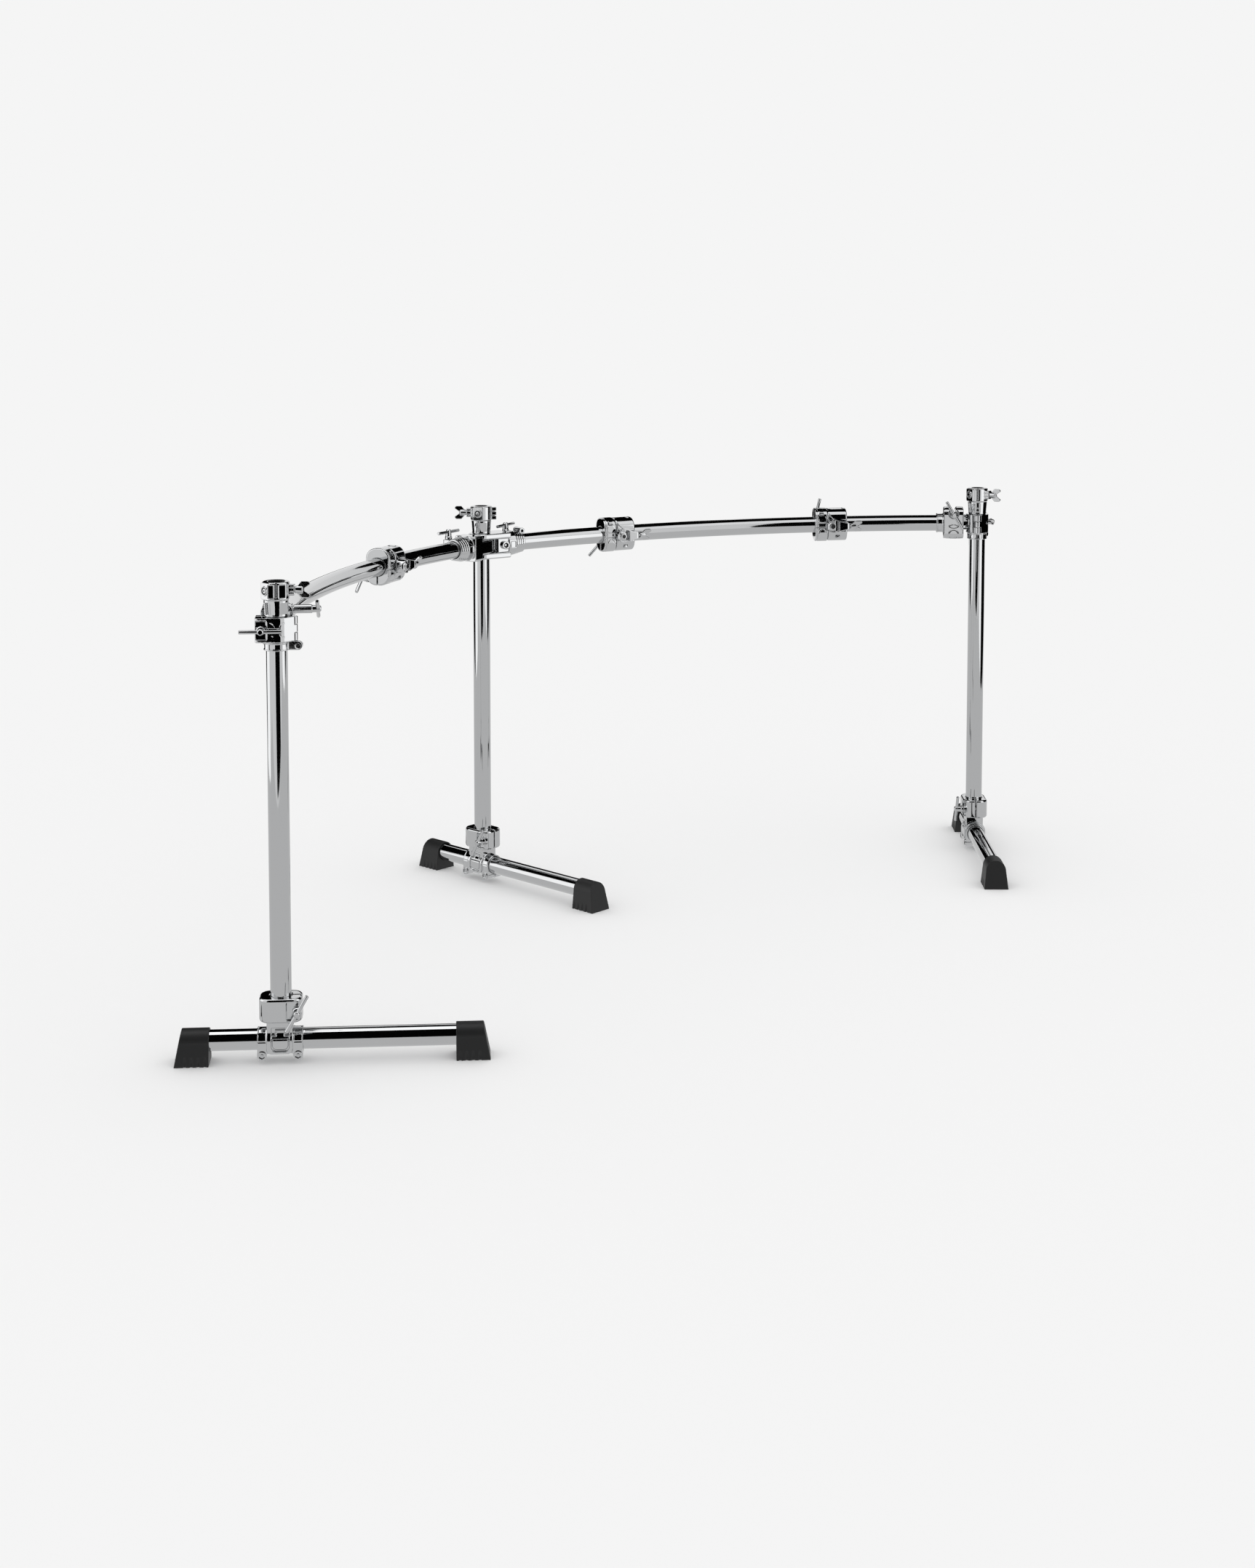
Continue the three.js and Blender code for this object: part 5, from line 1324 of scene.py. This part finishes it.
def bracket():
    back = -multi["bodyDepth"] / 2 - tube["face"]
    front, half, tall, tip = back - jaw["depth"], jaw["length"] / 2, jaw["height"] / 2, key["hub"] / 2
    head, middle = jaw["head"] / 2, (back + front) / 2
    plan = [(x, y + middle) for x, y in rounded(jaw["length"], jaw["depth"], jaw["corner"])]
    view = hull(circle(tall, 64, (tall - half, 0)), circle(tip, 48, (half - tip, 0)),
                [(half, tip - 2), (half, 2 - tip)])
    blank = kept(prism(plan, -tall, tall), facing(prism(view, -back - 1, 1 - front)))
    spot = head + jaw["corner"] / 2 - half
    collar = shifted(alongY(rod(head, front - jaw["collarRise"], front + 1)), spot)
    dish = alongY(carved(rod(head + jaw["dishOuter"], front - 1, front + jaw["dishDepth"]),
                         rod(head + jaw["dishInner"], front - 2, 0)))
    left, right = -jaw["rodShift"] - jaw["rodWidth"] / 2, jaw["rodWidth"] / 2 - jaw["rodShift"]
    made = carved(fused(carved(blank, shifted(dish, spot)), collar),
                  alongY(rod(multi["pivot"] / 2 + tube["slip"], back - multi["pivotLength"], 0)),
                  box((left, front - 4, -jaw["height"]), (right, front + jaw["rodDepth"], jaw["height"])),
                  shifted(alongX(rod(key["hole"], -jaw["rodShift"], jaw["length"])), 0,
                          front + jaw["rodDepth"] / 2, 0))
    bolt = socketBolt(head - jaw["headInset"], front - jaw["headLength"], front + 1, 1, jaw["socket"],
                      jaw["socketDepth"])
    return [(casting(made, "fineRound"), "cast")] + placed(bolt, spot)


def buildMulti(name):
    bar = bars["left" if name == "left_multi" else "right"]
    place, tangent, radial = onBar(bar, layout["multiSpot"][name])
    x = radial.cross(bar["up"])
    grid = basis(x, radial, bar["up"], place + x * ((multi["ringLength"] - multi["bodyLength"]) / 2))
    deliver(f"{name}_body", multiBody(), grid)
    deliver(f"{name}_ring", multiRing(name), grid)
    deliver(f"{name}_bracket", bracket(), grid @ Matrix.Translation((multi["bodyLength"] / 2, 0, 0)))
    front = -multi["bodyDepth"] / 2 - tube["face"] - jaw["depth"]
    thread = jaw["length"] / 2 + jaw["rodShift"] - jaw["rodWidth"] / 2 - 1
    turn = aimed(((multi["bodyLength"] + jaw["length"]) / 2, front + jaw["rodDepth"] / 2, 0), axisX, axisZ)
    bolt = [(moved(part, turn), finish) for part, finish in wingBolt(thread, multi["wingTurn"])]
    deliver(f"{name}_wing_bolt", bolt, grid)
    depth = multi["ringDepth"] / 2
    turn = aimed((-multi["ringLength"] / 2, depth, multi["keySide"][name] * keyLine), axisY, axisX)
    ringKey = tKey(depth + multi["keyThread"], multi["keyTurn"][name], 0, multi["keySlide"][name])
    deliver(f"{name}_ring_key", [(moved(ringKey, turn), "bolt")], grid)
    return grid


multiGrids = {name: buildMulti(name) for name in layout["multiSpot"]}
print("stage: multi-clamps built")


# The black peg beside the left multi-clamp

peg = {"diameter": 30, "length": 84, "rise": 12, "outset": 33.5}


def pegMesh():
    radius = peg["diameter"] / 2
    dome = [(radius * math.cos(math.radians(a)), peg["length"] - radius + radius * math.sin(math.radians(a)))
            for a in range(0, 90, 6)]
    whole = turned([(0, 0), (radius - 1, 0), (radius, 1)] + dome + [(0, peg["length"])])
    return shifted(alongX(whole), multi["bodyLength"] + tube["face"], peg["outset"], peg["rise"])


deliver("left_multi_peg", [(crisp(pegMesh()), "rubber")], multiGrids["left_multi"])
print("stage: peg built")


# Stage: a pale floor under even light, and cards that only the chrome's reflections see

paleGrey = "#F5F5F5"
floorReach = 40  # metres
view = {"lens": 53.08, "sensor": 36, "shift": (0.0045, -0.2306), "place": (-3451, -3918, 1483.7),
        "look": (0.70516, 0.70905, 0), "fall": 4.727}


def plainFinish(name, colour, glow=0.0):
    finish = bpy.data.materials.new(name)
    finish.use_nodes = True
    shader = finish.node_tree.nodes["Principled BSDF"]
    for socket, value in {"Base Color": linear(colour), "Roughness": 0.9, "Specular IOR Level": 0,
                          "Emission Color": linear("#FFFFFF"), "Emission Strength": glow}.items():
        shader.inputs[socket].default_value = value
    return finish


def stagePanel(name, corners, finish):
    panel = bpy.data.objects.new(name, meshFrom(corners, [(0, 1, 2, 3)]))
    scene.collection.objects.link(panel)
    panel.data.materials.append(finish)
    return panel


camera = bpy.data.cameras.new("camera")
camera.lens = view["lens"]
camera.sensor_width = view["sensor"]
camera.shift_x, camera.shift_y = view["shift"]
eye = bpy.data.objects.new("camera", camera)
look = Vector(view["look"])
right = look.cross(axisZ)
fall = math.radians(view["fall"])
aim = look * math.cos(fall) - axisZ * math.sin(fall)
eye.location = (postAxis["centre"] + Vector(view["place"])) * metresPerMm
eye.rotation_mode = "QUATERNION"
eye.rotation_quaternion = aim.to_track_quat("-Z", "Y")
scene.collection.objects.link(eye)
scene.camera = eye

corners = [(x * floorReach, y * floorReach, 0) for x, y in ((-1, -1), (1, -1), (1, 1), (-1, 1))]
stagePanel("floor", corners, plainFinish("pale_floor", paleGrey))

# Each card's glow and corners in metres: to the camera's right, away from it, up. Two are opposite corners
cards = {
    "dark_floor": (0, [(-0.65, -2.9, 0.002), (1.1, -2.9, 0.002), (4.2, -7, 0.002), (-1.6, -7, 0.002)]),
    "dark_front": (0, [(-4, -7, 0), (4, -7, 9)]),
    "dark_front_top": (0, [(-4, -1.7, 3.4), (4, -7, 9)]),
    "grey_floor": (0.7, [(-3, -2.8, 0.001), (3, 4.4, 0.001)]),
    "lit_ceiling": (1.7, [(-3, -1.6, 3.2), (0.7, 0.3, 3.2)]),
    "grey_ceiling": (1.15, [(0.7, -1.6, 3.2), (3, 0.3, 3.2)]),
    "dark_ceiling": (0, [(-4, 0.4, 3.2), (4, 4.5, 3.2)]),
    "dark_back": (0, [(-3.2, 4.5, 0.2), (3.2, 4.5, 3.2)]),
    "lit_back": (0.9, [(0.5, 4.4, 0.9), (3.2, 4.4, 2.9)]),
    "lit_right": (1.5, [(2.9, -2.2, 0), (2.9, -0.3, 2.6)]),
    "dark_right": (0, [(2.9, -0.2, 0), (2.9, 3.4, 2.6)]),
    "lit_left": (1.5, [(-2.7, -1.4, 0), (-2.7, 0.3, 2.6)]),
    "lit_grip": (0.85, [(0.75, -0.65, 0.5), (0.82, -0.65, 0.72)]),
    "lit_behind": (0.95, [(-0.85, 1.3, 0.85), (-0.1, 1.3, 1.9)]),
    "dark_left": (0, [(-2.7, 0.4, 0), (-2.7, 3.4, 2.6)]),
}


def cardCorners(first, last):
    if first[0] == last[0]:
        return [first, (first[0], last[1], first[2]), last, (last[0], first[1], last[2])]
    return [first, (last[0], first[1], first[2]), last, (first[0], last[1], last[2])]


cardFinishes = {}
for name, (glow, corners) in cards.items():
    if glow not in cardFinishes:
        cardFinishes[glow] = plainFinish(f"card_{len(cardFinishes)}", "#050505", glow)
    if len(corners) == 2:
        corners = cardCorners(*corners)
    panel = stagePanel(name, [right * x + look * y + axisZ * z for x, y, z in corners], cardFinishes[glow])
    panel.visible_camera = False
    panel.visible_diffuse = False
    panel.visible_shadow = False

# The sky lights at strength 1 and shows to the camera and to reflections in the floor's own colour
world = bpy.data.worlds.new("studio")
scene.world = world
world.use_nodes = True
sky = world.node_tree
path = addNode(sky, "ShaderNodeLightPath").outputs
seen = reckoned(sky, "MAXIMUM", path["Is Camera Ray"], path["Is Glossy Ray"])
shade = addNode(sky, "ShaderNodeMapRange", {"To Min": 1.0, "To Max": linear(paleGrey)[0]}, {"Value": seen})
backdrop = sky.nodes["Background"]
backdrop.inputs["Color"].default_value = linear("#FFFFFF")
sky.links.new(shade.outputs["Result"], backdrop.inputs["Strength"])

scene.view_settings.view_transform = "Standard"

print("stage: set and camera placed")
